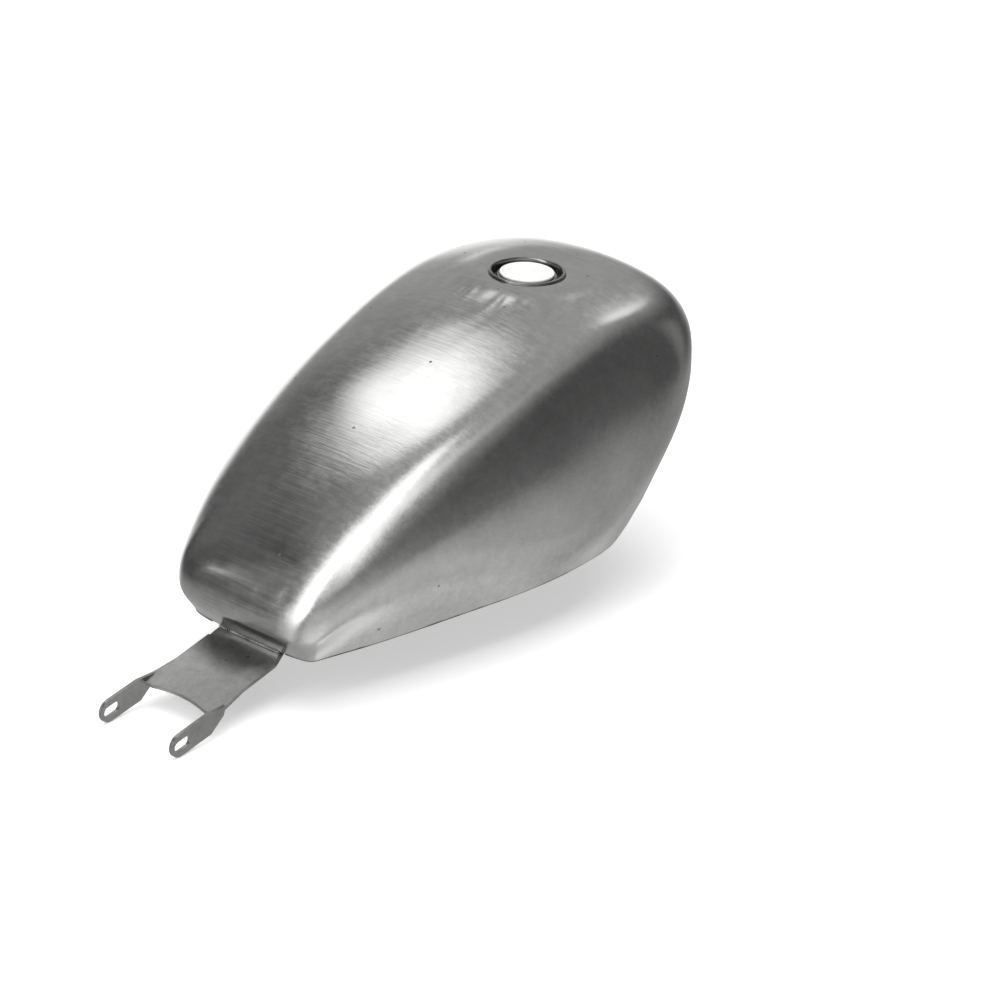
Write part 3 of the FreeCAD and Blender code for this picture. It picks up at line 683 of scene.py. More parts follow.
    def end_face(self, y: np.ndarray, z: np.ndarray, front: bool) -> np.ndarray:
        """Where the front or rear end of the form lies, near the mid-plane.

        Args:
            y: Distances from the mid-plane, any sign.
            z: Heights.
            front: Whether the front end is meant.

        Returns:
            The x of the outer face.
        """
        t = np.linspace(*((0, 0.12) if front else (1, 0.88)), 60)
        line = self.outline(t)
        x = np.interp(np.abs(y), line[:, 1], line[:, 0])
        shift = self.tucked(x, np.maximum(self.widest_line(x) - z, 0))
        return x - shift if front else x + shift


FORM = BodyForm()


# ---- finishes -----------------------------------------------------------------------------------

class Grain(Enum):
    """Direction of a metal's working marks, as the stretch of the noise that draws them."""

    ACROSS = (900.0, 14.0, 900.0)
    ALONG = (12.0, 700.0, 700.0)
    FINE = (260.0, 260.0, 260.0)


class Board:
    """A material's nodes, with short ways to add to them."""

    def __init__(self, name: str) -> None:
        """Starts a material with a Principled shader on its output."""
        self.material = bpy.data.materials.new(name)
        self.start(self.material, "ShaderNodeOutputMaterial", "ShaderNodeBsdfPrincipled", "Object")

    def start(self, owner: bpy.types.ID, output: str, shader: str, coordinates: str) -> None:
        """Clears a node tree and puts one shader on its output.

        Args:
            owner: The material or world.
            output: Type of its output node.
            shader: Type of its shader node.
            coordinates: The texture coordinates that its patterns read.
        """
        owner.use_nodes = True
        self.tree = owner.node_tree
        self.tree.nodes.clear()
        self.output = self.tree.nodes.new(output)
        self.shader = self.tree.nodes.new(shader)
        self.tree.links.new(self.shader.outputs[0], self.output.inputs[0])
        self.place = self.tree.nodes.new("ShaderNodeTexCoord").outputs[coordinates]

    def set(self, **values: object) -> None:
        """Sets inputs of the shader to plain values, with each space of their names as an underscore."""
        for key, value in values.items():
            self.shader.inputs[key.replace("_", " ")].default_value = value

    def feed(self, node: bpy.types.Node, key: str | int, value: object) -> None:
        """Links a socket to a node's input, or sets the input to a plain value.

        Args:
            node: The node.
            key: The input's name or number.
            value: A socket or a plain value.
        """
        if isinstance(value, bpy.types.NodeSocket):
            self.tree.links.new(value, node.inputs[key])
        else:
            node.inputs[key].default_value = value

    def math(self, operation: str, *values: object) -> bpy.types.NodeSocket:
        """A Math node on one to three values or sockets.

        Args:
            operation: What the node does.
            values: Its inputs in order.

        Returns:
            The node's output.
        """
        node = self.tree.nodes.new("ShaderNodeMath")
        node.operation = operation
        for k, value in enumerate(values):
            self.feed(node, k, value)
        return node.outputs[0]

    def measure(self, operation: str, first: object, second: object) -> bpy.types.NodeSocket:
        """A Vector Math node that makes a number of two vectors.

        Args:
            operation: What the node does.
            first: One vector.
            second: The other vector.

        Returns:
            The number.
        """
        node = self.tree.nodes.new("ShaderNodeVectorMath")
        node.operation = operation
        self.feed(node, 0, first)
        self.feed(node, 1, second)
        return node.outputs["Value"]

    def parts(self, vector: bpy.types.NodeSocket) -> list[bpy.types.NodeSocket]:
        """The x, y and z of a vector.

        Args:
            vector: The vector's socket.

        Returns:
            Three sockets.
        """
        node = self.tree.nodes.new("ShaderNodeSeparateXYZ")
        self.feed(node, 0, vector)
        return list(node.outputs)

    def stretched(self, scale: tuple[float, float, float], start: tuple[float, float, float] = (0, 0, 0)
                  ) -> bpy.types.NodeSocket:
        """The object's coordinates, moved by -start and stretched.

        Args:
            scale: Stretch along each axis.
            start: The place that becomes the centre.

        Returns:
            The stretched coordinates.
        """
        node = self.tree.nodes.new("ShaderNodeMapping")
        node.vector_type = "POINT"
        self.feed(node, "Vector", self.place)
        node.inputs["Scale"].default_value = scale
        node.inputs["Location"].default_value = [-s * k for s, k in zip(start, scale)]
        return node.outputs[0]

    def noise(self, scale: float, detail: float = 3.0, rough: float = 0.5,
              vector: bpy.types.NodeSocket | None = None) -> bpy.types.NodeSocket:
        """Fractal noise about 0.5.

        Args:
            scale: Waves per metre.
            detail: Number of finer layers.
            rough: Share that each finer layer keeps.
            vector: Coordinates, the object's if left out.

        Returns:
            The noise, from 0 to 1.
        """
        node = self.tree.nodes.new("ShaderNodeTexNoise")
        self.feed(node, "Vector", vector or self.place)
        node.inputs["Scale"].default_value = scale
        node.inputs["Detail"].default_value = detail
        node.inputs["Roughness"].default_value = rough
        return node.outputs[0]

    def spots(self, scale: float, size: float, share: float) -> bpy.types.NodeSocket:
        """Small round spots, 1 inside: the nearest cell point is under size away and its cell is picked.

        Args:
            scale: Cells per metre.
            size: Radius of a spot in cells.
            share: How many of the cells have one.

        Returns:
            The spots' mask.
        """
        node = self.tree.nodes.new("ShaderNodeTexVoronoi")
        self.feed(node, "Vector", self.place)
        node.inputs["Scale"].default_value = scale
        near = self.between(node.outputs["Distance"], size, size * 0.5)
        picked = self.between(self.noise(scale * 0.37, 1.0), 1 - share, 1 - share + 0.02)
        return self.math("MULTIPLY", near, picked)

    def between(self, value: object, low: float, high: float, to_low: float = 0.0, to_high: float = 1.0
                ) -> bpy.types.NodeSocket:
        """A smooth map of a value from low..high to to_low..to_high.

        Args:
            value: The number to map.
            low: Where the map starts.
            high: Where it ends.
            to_low: Result at the start.
            to_high: Result at the end.

        Returns:
            The mapped number.
        """
        node = self.tree.nodes.new("ShaderNodeMapRange")
        node.interpolation_type = "SMOOTHSTEP"
        for key, number in zip(("Value", "From Min", "From Max", "To Min", "To Max"),
                               (value, low, high, to_low, to_high)):
            self.feed(node, key, number)
        return node.outputs[0]

    def blend(self, share: object, first: object, second: object) -> bpy.types.NodeSocket:
        """A mix of two colours.

        Args:
            share: How much of the second.
            first: A colour or its socket.
            second: A colour or its socket.

        Returns:
            The mixed colour.
        """
        node = self.tree.nodes.new("ShaderNodeMix")
        node.data_type = "RGBA"
        self.feed(node, 0, share)
        for key, colour in ((6, first), (7, second)):
            self.feed(node, key, colour if isinstance(colour, bpy.types.NodeSocket) else (*colour, 1.0))
        return node.outputs[2]

    def bump(self, height: bpy.types.NodeSocket, depth: float, under: bpy.types.NodeSocket | None = None
             ) -> bpy.types.NodeSocket:
        """A bump of that depth in metres, over another bump's normal if one is given.

        Args:
            height: The pattern that is raised.
            depth: Its height in metres.
            under: A normal to add it to.

        Returns:
            The bumped normal.
        """
        node = self.tree.nodes.new("ShaderNodeBump")
        node.inputs["Strength"].default_value = 1.0
        node.inputs["Distance"].default_value = depth
        self.feed(node, "Height", height)
        if under is not None:
            self.feed(node, "Normal", under)
        return node.outputs[0]


class RoomBoard(Board):
    """A world's nodes, with the same short ways to add to them."""

    def __init__(self, name: str) -> None:
        """Starts a world with a Background shader on its output."""
        self.world = bpy.data.worlds.new(name)
        self.start(self.world, "ShaderNodeOutputWorld", "ShaderNodeBackground", "Generated")


@dataclass(frozen=True)
class SteelFinish:
    """Bare steel: mottled, with working marks, specks and a soft uneven gloss."""

    name: str
    dark: tuple[float, float, float]
    light: tuple[float, float, float]
    rough: tuple[float, float]
    grain: Grain
    grain_share: float = 0.25
    blotch: float = 11.0
    mottle: float = 95.0
    speck_share: float = 0.36
    speck_scale: float = 90.0
    depth: float = 0.00004
    ground: bool = False
    # Centre of a painted shade patch on the plate, where the tongue passes under the body; None for none.
    painted_shade_place: tuple[float, float, float] | None = None
    gloss: tuple[float, float] = (0.55, 0.45)
    ground_centre: tuple[float, float, float] = (-0.322, -0.030, 0)
    ground_radii: tuple[float, float] = (0.085, 0.052)
    seam_band: tuple[float, float] = (0.05, 0.01)
    # Stretch, fade radii and strength of that painted shade.
    painted_shade_stretch: tuple[float, float, float] = (1.6, 0.8, 1.0)
    painted_shade_radii: tuple[float, float] = (0.055, 0.018)
    painted_shade_share: float = 0.72

    def add_painted_shade(self, board: Board, colour: bpy.types.NodeSocket) -> bpy.types.NodeSocket:
        """The colour darkened unevenly round the tongue's root, under the body's rear edge: painted shade.

        Args:
            board: The material's nodes.
            colour: The colour before.

        Returns:
            The colour after.
        """
        centre = [k * v for k, v in zip(self.painted_shade_stretch, self.painted_shade_place)]
        away = board.measure("DISTANCE", board.stretched(self.painted_shade_stretch), centre)
        away = board.math("MULTIPLY_ADD", board.noise(60, 3.0), 0.02, away)
        shade_mask = board.between(away, *self.painted_shade_radii, 0.0, self.painted_shade_share)
        return board.blend(shade_mask, colour, tuple(0.16 * c for c in self.dark))

    def marks(self, board: Board) -> bpy.types.NodeSocket:
        """The working marks: noise drawn out along the grain, coarse and fine.

        Args:
            board: The material's nodes.

        Returns:
            The marks, from 0 to 1.
        """
        stretched = board.stretched(self.grain.value)
        coarse = board.noise(0.35, 2.0, 0.6, stretched)
        fine = board.noise(1.3, 2.0, 0.6, stretched)
        return board.math("MULTIPLY_ADD", fine, 0.5, board.math("MULTIPLY", coarse, 0.5))

    def ground_zone(self, board: Board) -> bpy.types.NodeSocket:
        """Where the top was dressed across the centre seam: an oval patch and a faint band along the seam.

        Args:
            board: The material's nodes.

        Returns:
            1 where it was dressed and 0 elsewhere.
        """
        along, across = self.ground_radii
        oval = board.parts(board.stretched((1 / along, 1 / across, 0), self.ground_centre))
        squares = [board.math("POWER", board.math("ABSOLUTE", way), 2.0) for way in oval[:2]]
        away = board.math("ADD", *squares)
        patch = board.between(board.math("ADD", away, board.noise(30, 3.0)), 1.7, 0.6)
        beside = board.math("ABSOLUTE", board.parts(board.place)[1])
        return board.math("MAXIMUM", patch, board.between(beside, *self.seam_band, 0.0, 0.35))

    def material(self) -> bpy.types.Material:
        """The finished material.

        Returns:
            The material.
        """
        board = Board(self.name)
        blotch = board.noise(self.blotch, 4.0, 0.55)
        mottle = board.noise(self.mottle, 5.0, 0.68)
        marks = self.marks(board)
        share = board.between(marks, 0.36, 0.64)
        zone = self.ground_zone(board) if self.ground else None
        weight = board.math("MULTIPLY_ADD", zone, 0.6, self.grain_share) if self.ground else self.grain_share
        tone = board.math("MULTIPLY_ADD", board.between(mottle, 0.3, 0.7), 0.5,
                          board.math("MULTIPLY", board.between(blotch, 0.3, 0.7), 0.5))
        tone = board.math("ADD", board.math("MULTIPLY", tone, board.math("SUBTRACT", 1.0, weight)),
                          board.math("MULTIPLY", share, weight))
        colour = board.blend(tone, self.dark, self.light)
        specks = board.math("MAXIMUM", board.spots(self.speck_scale, 0.16, self.speck_share),
                            board.spots(self.speck_scale * 0.28, 0.05, self.speck_share))
        colour = board.blend(board.math("MULTIPLY", specks, 0.75), colour, tuple(0.3 * c for c in self.dark))
        # Painted shade: the plate darkened where the tongue runs under the body's rear edge.
        if self.painted_shade_place:
            colour = self.add_painted_shade(board, colour)
        board.feed(board.shader, "Base Color", colour)
        board.set(Metallic=1.0)
        gloss = board.math("ADD", board.math("MULTIPLY", board.between(mottle, 0.25, 0.75), self.gloss[0]),
                           board.math("MULTIPLY", share, self.gloss[1]))
        gloss = board.between(gloss, 0.0, 1.0, *self.rough)
        if self.ground:
            gloss = board.math("MULTIPLY_ADD", zone, 0.05, gloss)
        board.feed(board.shader, "Roughness", board.math("MULTIPLY_ADD", specks, 0.25, gloss))
        normal = board.bump(share, self.depth * 0.45)
        normal = board.bump(board.noise(self.mottle, 2.0, 0.5), self.depth, normal)
        board.feed(board.shader, "Normal", board.bump(board.noise(1400, 2.0), self.depth * 0.12, normal))
        return board.material


@dataclass(frozen=True)
class WeldFinish:
    """Weld metal: bright ripples between darker, heat-stained hollows."""

    name: str
    dark: tuple[float, float, float]
    light: tuple[float, float, float]
    rough: tuple[float, float]

    def material(self) -> bpy.types.Material:
        """The finished material.

        Returns:
            The material.
        """
        board = Board(self.name)
        stain = board.noise(160, 4.0, 0.6)
        soot = board.noise(36, 3.0, 0.6)
        tone = board.math("MULTIPLY", board.between(stain, 0.3, 0.62), board.between(soot, 0.3, 0.6, 0.35, 1.0))
        board.feed(board.shader, "Base Color", board.blend(tone, self.dark, self.light))
        board.set(Metallic=1.0)
        board.feed(board.shader, "Roughness", board.between(stain, 0.3, 0.7, *self.rough))
        board.feed(board.shader, "Normal", board.bump(board.noise(700, 3.0), 0.00008))
        return board.material


@dataclass(frozen=True)
class PlasticFinish:
    """Moulded polyethylene: near white, waxy, with flow marks, dust and faint scuffs."""

    name: str
    clean: tuple[float, float, float]
    dusty: tuple[float, float, float]
    rough: tuple[float, float]

    def material(self) -> bpy.types.Material:
        """The finished material.

        Returns:
            The material.
        """
        board = Board(self.name)
        flow = board.noise(120, 4.0, 0.6)
        dust = board.spots(420, 0.12, 0.42)
        scuff = board.between(board.noise(1.0, 3.0, 0.7, board.stretched((60, 420, 60))), 0.60, 0.72)
        dirt = board.math("MAXIMUM", board.math("MULTIPLY", scuff, 0.45), board.math("MULTIPLY", dust, 0.7))
        dirt = board.math("MAXIMUM", dirt, board.between(flow, 0.35, 0.75, 0.0, 0.3))
        board.feed(board.shader, "Base Color", board.blend(dirt, self.clean, self.dusty))
        board.feed(board.shader, "Roughness", board.between(flow, 0.3, 0.7, *self.rough))
        board.set(Subsurface_Weight=0.15, Subsurface_Radius=(0.004, 0.004, 0.004))
        board.feed(board.shader, "Normal", board.bump(flow, 0.00005))
        return board.material


SKIN = SteelFinish("skin_steel", (0.46, 0.46, 0.455), (0.60, 0.60, 0.59), (0.13, 0.21), Grain.ACROSS, 0.22,
                   ground=True)
PAN = SteelFinish("pan_steel", (0.34, 0.34, 0.335), (0.58, 0.58, 0.57), (0.26, 0.42), Grain.ALONG, 0.2)
# The plate carries a painted shade patch at the tongue's root, under the body's rear edge.
PLATE = SteelFinish("plate_steel", (0.33, 0.33, 0.325), (0.56, 0.56, 0.55), (0.30, 0.46), Grain.FINE, 0.3,
                    speck_scale=60, depth=0.00006, painted_shade_place=(-0.551, 0.0, -0.112))
# Turned steel made dark throughout: partly the rings' own darker tone, partly painted shade for the filler's
# recess and its groove.
TURNED_SHADED = SteelFinish("turned_steel", (0.24, 0.24, 0.235), (0.42, 0.42, 0.41), (0.16, 0.30), Grain.FINE, 0.2)
MACHINED = SteelFinish("machined_steel", (0.50, 0.50, 0.49), (0.72, 0.72, 0.71), (0.18, 0.32), Grain.FINE, 0.3,
                       depth=0.00003)
HEM = SteelFinish("hem_steel", (0.10, 0.10, 0.10), (0.20, 0.20, 0.195), (0.30, 0.46), Grain.ALONG, 0.2)
WELD = WeldFinish("weld_metal", (0.13, 0.125, 0.12), (0.55, 0.545, 0.53), (0.22, 0.5))
WHITE_PLASTIC = PlasticFinish("white_plastic", (0.92, 0.92, 0.91), (0.74, 0.74, 0.73), (0.32, 0.5))


class Finishes:
    """The materials, each made once."""

    def __init__(self) -> None:
        """Makes every finish's material."""
        every = (SKIN, PAN, PLATE, TURNED_SHADED, MACHINED, HEM, WELD, WHITE_PLASTIC)
        self.made = {finish.name: finish.material() for finish in every}

    def dress(self, piece: bpy.types.Object, finish: object, body: str = "tank",
              replaces: tuple[str, ...] = ()) -> bpy.types.Object:
        """Gives a piece its material and body, and hides the CAD nodes that it stands for.

        Args:
            piece: The finished mesh object.
            finish: One of the finishes.
            body: The CAD body that it moves with.
            replaces: CAD nodes that it stands for.

        Returns:
            The piece.
        """
        piece.data.materials.clear()
        piece.data.materials.append(self.made[finish.name])
        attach(piece, body)
        if replaces:
            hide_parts(*replaces)
        log.info("%s: %d faces on %s", piece.name, len(piece.data.polygons), body)
        return piece


# ---- sheet metal --------------------------------------------------------------------------------

@dataclass(frozen=True)
class Dent:
    """A shallow dent, or a bump if its depth is negative, at a place on the skin."""

    place: tuple[float, float, float]
    width: float
    depth: float


@dataclass
class BodySkin:
    """The pressed outer skin, both halves welded into one, with the filler's hole and the tunnel's notches."""

    form: BodyForm
    rows: int = 100
    nose_columns: int = 44
    side_columns: int = 146
    nose_share: float = 0.04
    notch_step: float = 2e-4
    strip_columns: int = 120
    strip_rows: int = 200
    strip_top: float = 0.3
    guide_rows: int = 700
    waves: float = 0.10
    calm_band: float = 12.0
    edge_drop: float = 0.9
    edge_width: float = 1.6
    rim_line: np.ndarray = field(init=False, repr=False)
    lower_line: np.ndarray = field(init=False, repr=False)
    dents: tuple[Dent, ...] = (
        Dent((8, 66, 31), 7.0, 0.5), Dent((5, -18, 41), 4.0, 0.45), Dent((9, -43, 47), 4.5, 0.4),
        Dent((16, 30, 48), 10.0, 0.25), Dent((2, 28, 24), 8.0, 0.3), Dent((2, 2, 20), 6.0, -0.25),
        Dent((40, -12, 80), 16.0, 0.18), Dent((150, 60, 140), 22.0, 0.14),
    )

    def columns(self) -> np.ndarray:
        """Shares of the way round: close together at the nose, with a narrow pair at each side of the notch.

        Returns:
            Rising numbers from 0 to under 1.
        """
        nose = self.nose_share * np.linspace(0, 1, self.nose_columns)[:-1]
        side = self.nose_share + (0.5 - self.nose_share) * np.linspace(0, 1, self.side_columns)
        corner = self.notch_corner() + np.array([-self.notch_step, self.notch_step])
        half = np.sort(np.concatenate([nose, side, corner]))
        return np.concatenate([half, 1 - half[-2:0:-1]])

    def notch_corner(self) -> float:
        """The share of the way round at which the rim meets the tunnel's side.

        Returns:
            The share.
        """
        fine = np.linspace(0.0, self.nose_share * 2, self.strip_columns)
        strip = self.form.surface(fine, np.linspace(0, self.strip_top, self.strip_rows))
        low = np.argmax(strip[..., 2] > self.form.rim(strip[..., 0]), axis=0)
        side = strip[low, np.arange(len(fine)), 1]
        return float(np.interp(self.form.tunnel_half, side, fine))

    def lower_edge(self, x: np.ndarray, y: np.ndarray) -> np.ndarray:
        """Height of the skin's lower edge: the rim, or the tunnel's outer face where that is higher.

        Args:
            x: Places along the body.
            y: Places across it.

        Returns:
            Heights.
        """
        form = self.form
        beyond = np.clip(np.abs(y) - (form.tunnel_half - form.tunnel_corner), 0, form.tunnel_corner)
        arch = form.ceiling(x) - form.tunnel_corner + np.sqrt(form.tunnel_corner ** 2 - beyond ** 2)
        return np.where(np.abs(y) < form.tunnel_half, np.maximum(form.rim(x), arch), form.rim(x))

    def outer(self) -> np.ndarray:
        """The outer face: each column runs from the lower edge up to the filler's hole.

        Returns:
            A grid of points, rows by columns.
        """
        base = self.form.surface(self.columns(), np.linspace(0, 1, self.guide_rows))
        x, y, z = np.moveaxis(base, -1, 0)
        start = self.crossing(z - self.lower_edge(x, y))
        end = self.crossing(-self.from_filler(x, y))
        at = start + (end - start) * np.linspace(0, 1, self.rows)[:, None]
        low = np.clip(at.astype(int), 0, self.guide_rows - 2)
        share = (at - low)[..., None]
        column = np.arange(base.shape[1])
        return base[low, column] * (1 - share) + base[low + 1, column] * share

    def from_filler(self, x: np.ndarray, y: np.ndarray) -> np.ndarray:
        """Distance in plan outside the filler's recess."""
        return np.hypot(x - self.form.filler_x, y) - self.form.cup_radius

    def crossing(self, values: np.ndarray) -> np.ndarray:
        """The row, with its fraction, after which each column's values turn positive.

        Args:
            values: Numbers, rows by columns.

        Returns:
            One row number per column.
        """
        k = np.maximum(np.argmax(values > 0, axis=0), 1)
        column = np.arange(values.shape[1])
        before, after = values[k - 1, column], values[k, column]
        return k - 1 + np.clip(-before / np.where(after == before, 1, after - before), 0, 1)

    def worked(self, grid: np.ndarray, normals: np.ndarray) -> np.ndarray:
        """The face after use: dents, faint waves left by the press, and an edge turned down at the filler.

        The waves are the sum of three products of sines; each dent is a bell curve along the normal.

        Args:
            grid: Points of the face.
            normals: Their outward normals.

        Returns:
            The moved points.
        """
        x, y, z = np.moveaxis(grid, -1, 0)
        lift = self.waves * (np.sin(x / 19 + y / 31) * np.sin(y / 23 - z / 17)
                             + 0.7 * np.sin(x / 41 - z / 29) * np.sin(x / 13 + z / 37 + 1)
                             + 0.5 * np.sin(y / 11 + 2) * np.sin(x / 27 + z / 9))
        for dent in self.dents:
            away = np.linalg.norm(grid - np.array(dent.place), axis=-1)
            lift = lift - dent.depth * bell(away, dent.width)
        away = self.from_filler(x, y)
        worked = grid + normals * (lift * smooth_step(away / self.calm_band))[..., None]
        worked[..., 2] -= self.edge_drop * bell(away, self.edge_width)
        return worked

    def build(self, finishes: Finishes) -> bpy.types.Object:
        """Makes the skin as one closed sheet.

        Args:
            finishes: The materials.

        Returns:
            The skin.
        """
        outer = self.outer()
        normals = grid_normals(outer, wrap=True)
        if (normals * (outer - outer.mean(axis=(0, 1)))).sum() < 0:
            normals = -normals
        outer = self.worked(outer, normals)
        inner = outer - normals * self.form.wall
        points = np.concatenate([outer.reshape(-1, 3), inner.reshape(-1, 3)])
        cells = np.ones((self.rows - 1, outer.shape[1]), bool)
        piece = mesh_piece("body_skin", placed(points), sheet_quads(cells, wrap=True), sharp=50)
        self.rim_line = inner[0]
        self.lower_line = outer[0]
        return finishes.dress(piece, SKIN, replaces=("left_shell", "right_shell"))


@dataclass
class PanSheet:
    """One of the two pressed pans that close the tank below, beside the tunnel."""

    form: BodyForm
    side: int
    columns: int = 250
    rows: int = 54
    dish: tuple[float, float] = (300.0, 79.0)
    dish_radii: tuple[float, float] = (17.5, 27.0)
    dish_drop: float = 3.0
    bung_radius: float = 12.0
    pump: tuple[float, float] = (364.0, 71.0)
    lobe_radii: tuple[float, float] = (25.5, 21.5)
    lobes_apart: float = 64.0
    lobe_waist: float = 14.0
    hole_grow: float = 2.0
    dish_slopes: tuple[float, float] = (4.0, 2.0)
    skin_gap: float = 0.4
    tunnel_gap: float = 0.05

    def edge(self, skin: BodySkin) -> np.ndarray:
        """The pan's outer edge in plan, along the skin's inner face, front to rear on the left side.

        Args:
            skin: The finished skin.

        Returns:
            Points in plan.
        """
        line = skin.rim_line[:, :2]
        half = line[:len(line) // 2 + 1]
        half = half[half[:, 1] > self.form.tunnel_half + self.skin_gap]
        return path_points(half, np.linspace(0, way_along(half)[-1], self.columns))

    def lobes_distance(self, x: np.ndarray, y: np.ndarray) -> np.ndarray:
        """Distance outside the pump opening, which is two discs joined by a waist.

        Args:
            x: Places along the body.
            y: Places to the side.

        Returns:
            Distances, below 0 inside the opening.
        """
        px, py = self.pump
        front = np.hypot(x - px, y - py) - self.lobe_radii[0]
        rear = np.hypot(x - px + self.lobes_apart, y - py) - self.lobe_radii[1]
        waist = np.maximum(np.abs(y - py) - self.lobe_waist,
                           np.abs(x - px + self.lobes_apart / 2) - self.lobes_apart / 2)
        return np.minimum(np.minimum(front, rear), waist)

    def build(self, skin: BodySkin, finishes: Finishes) -> bpy.types.Object:
        """Makes the pan as a closed sheet, with its pump opening or its pressed dish.

        Args:
            skin: The finished skin.
            finishes: The materials.

        Returns:
            The pan.
        """
        edge = self.edge(skin)
        inner = np.column_stack([edge[:, 0], np.full(len(edge), self.form.tunnel_half + self.tunnel_gap)])
        share = np.linspace(0, 1, self.rows)[:, None, None]
        plan = edge * (1 - share) + inner * share
        x, y = plan[..., 0], plan[..., 1]
        z = self.form.pan_height(x, y)
        centre_x, centre_y = (x[:-1, :-1] + x[1:, 1:]) / 2, (y[:-1, :-1] + y[1:, 1:]) / 2
        if self.side > 0:
            keep = self.lobes_distance(centre_x, centre_y) > self.hole_grow
            replaces = ("left_pan",)
        else:
            away = np.hypot(x - self.dish[0], y - self.dish[1])
            outer_slope, inner_slope = self.dish_slopes
            ring = (smooth_step((self.dish_radii[1] - away) / outer_slope)
                    * smooth_step((away - self.dish_radii[0]) / inner_slope))
            z = z - self.dish_drop * ring
            keep = np.hypot(centre_x - self.dish[0], centre_y - self.dish[1]) > self.bung_radius
            replaces = ("right_pan", "outlet_dish")
        lower = np.stack([x, y * self.side, z], -1)
        points = np.concatenate([lower.reshape(-1, 3), (lower + (0, 0, self.form.wall)).reshape(-1, 3)])
        points, quads = used_only(points, sheet_quads(keep))
        name = "left_pan_sheet" if self.side > 0 else "right_pan_sheet"
        return finishes.dress(mesh_piece(name, placed(points), quads), PAN, replaces=replaces)


@dataclass
class TunnelSheet:
    """The folded sheet over the frame's backbone, with four dimples pressed in at its corners."""

    form: BodyForm
    half_points: int = 40
    stations: int = 230
    lap: float = 3.0
    dimple_x: tuple[float, float] = (127.0, 308.0)
    dimple_length: float = 12.5
    dimple_width: float = 8.5
    dimple_depth: float = 4.5
    dimple_slope: float = 1.25
    nub_x: float = 235.0
    nub_radius: float = 6.0
    nub_depth: float = 1.6
    nub_slope: float = 1.6
    end_guess: tuple[float, float] = (10.0, 470.0)
    end_gaps: tuple[float, float] = (0.6, 0.2)
    outer_face: np.ndarray = field(init=False, repr=False)

    def section(self, x: np.ndarray, share: np.ndarray, inset: float
                ) -> tuple[np.ndarray, np.ndarray, np.ndarray]:
        """Half of the tunnel's section: up the leg, round the corner and in to the middle.

        Args:
            x: Stations along the tank.
            share: Shares of the way along the half section.
            inset: Distance inside the tunnel's outer face.

        Returns:
            y, z and the outward angle at the corner, which is 0 on the leg and a quarter turn on top.
        """
        form = self.form
        r, half = form.tunnel_corner - inset, form.tunnel_half - inset
        top = form.ceiling(x) - inset
        bottom = form.pan_height(x, np.full_like(x, form.tunnel_half)) - self.lap
        leg = np.maximum(top - r - bottom, 0)
        begin = np.arcsin(np.clip((bottom - (top - r)) / r, 0, 0.9))
        arc = r * (np.pi / 2 - begin)
        flat = half - r
        way = share * (leg + arc + flat)
        turn = np.clip(begin + (way - leg) / r, begin, np.pi / 2)
        on_leg, on_flat = way < leg, np.maximum(way - leg - arc, 0)
        y = np.where(on_leg, half, half - r + r * np.cos(turn) - on_flat)
        z = np.where(on_leg, bottom + way, top - r + r * np.sin(turn))
        return y, z, np.where(on_leg, 0, turn)

    def face(self, inset: float) -> np.ndarray:
        """One face of the sheet as a grid, from the left leg over to the right one, rear to front.

        Args:
            inset: Distance inside the tunnel's outer face.

        Returns:
            A grid of points.
        """
        share = np.linspace(0, 1, self.half_points)[:, None]
        along = np.linspace(0, 1, self.stations)[None, :]
        rear, front = (np.full_like(share, guess) for guess in self.end_guess)
        for _ in range(4):
            rear = self.form.end_face(*self.section(rear, share, 0)[:2], front=False) + self.end_gaps[0]
            front = self.form.end_face(*self.section(front, share, 0)[:2], front=True) - self.end_gaps[1]
        x = rear + (front - rear) * along
        y, z, turn = self.section(x, np.broadcast_to(share, x.shape), inset)
        push = np.zeros_like(x)
        for centre in self.dimple_x:
            lengthways = (x - centre) / self.dimple_length
            around = (turn - np.pi / 4) * self.form.tunnel_corner / self.dimple_width
            push += self.dimple_depth * smooth_step(self.dimple_slope * (1 - np.hypot(lengthways, around)))
        nub = self.nub_depth * smooth_step(self.nub_slope * (1 - np.hypot(x - self.nub_x, y) / self.nub_radius))
        half = np.stack([x, y - push * np.cos(turn), z - push * np.sin(turn) - nub], -1)
        return np.concatenate([half, half[-2::-1] * (1, -1, 1)])

    def build(self, finishes: Finishes) -> bpy.types.Object:
        """Makes the tunnel as one closed sheet.

        Args:
            finishes: The materials.

        Returns:
            The tunnel.
        """
        outer, inner = self.face(0.0), self.face(self.form.wall)
        points = np.concatenate([outer.reshape(-1, 3), inner.reshape(-1, 3)])
        self.outer_face = outer
        quads = sheet_quads(np.ones((len(outer) - 1, self.stations - 1), bool))
        piece = mesh_piece("tunnel_sheet", placed(points), quads)
        return finishes.dress(piece, PAN, replaces=("tunnel",))


# ---- welds --------------------------------------------------------------------------------------

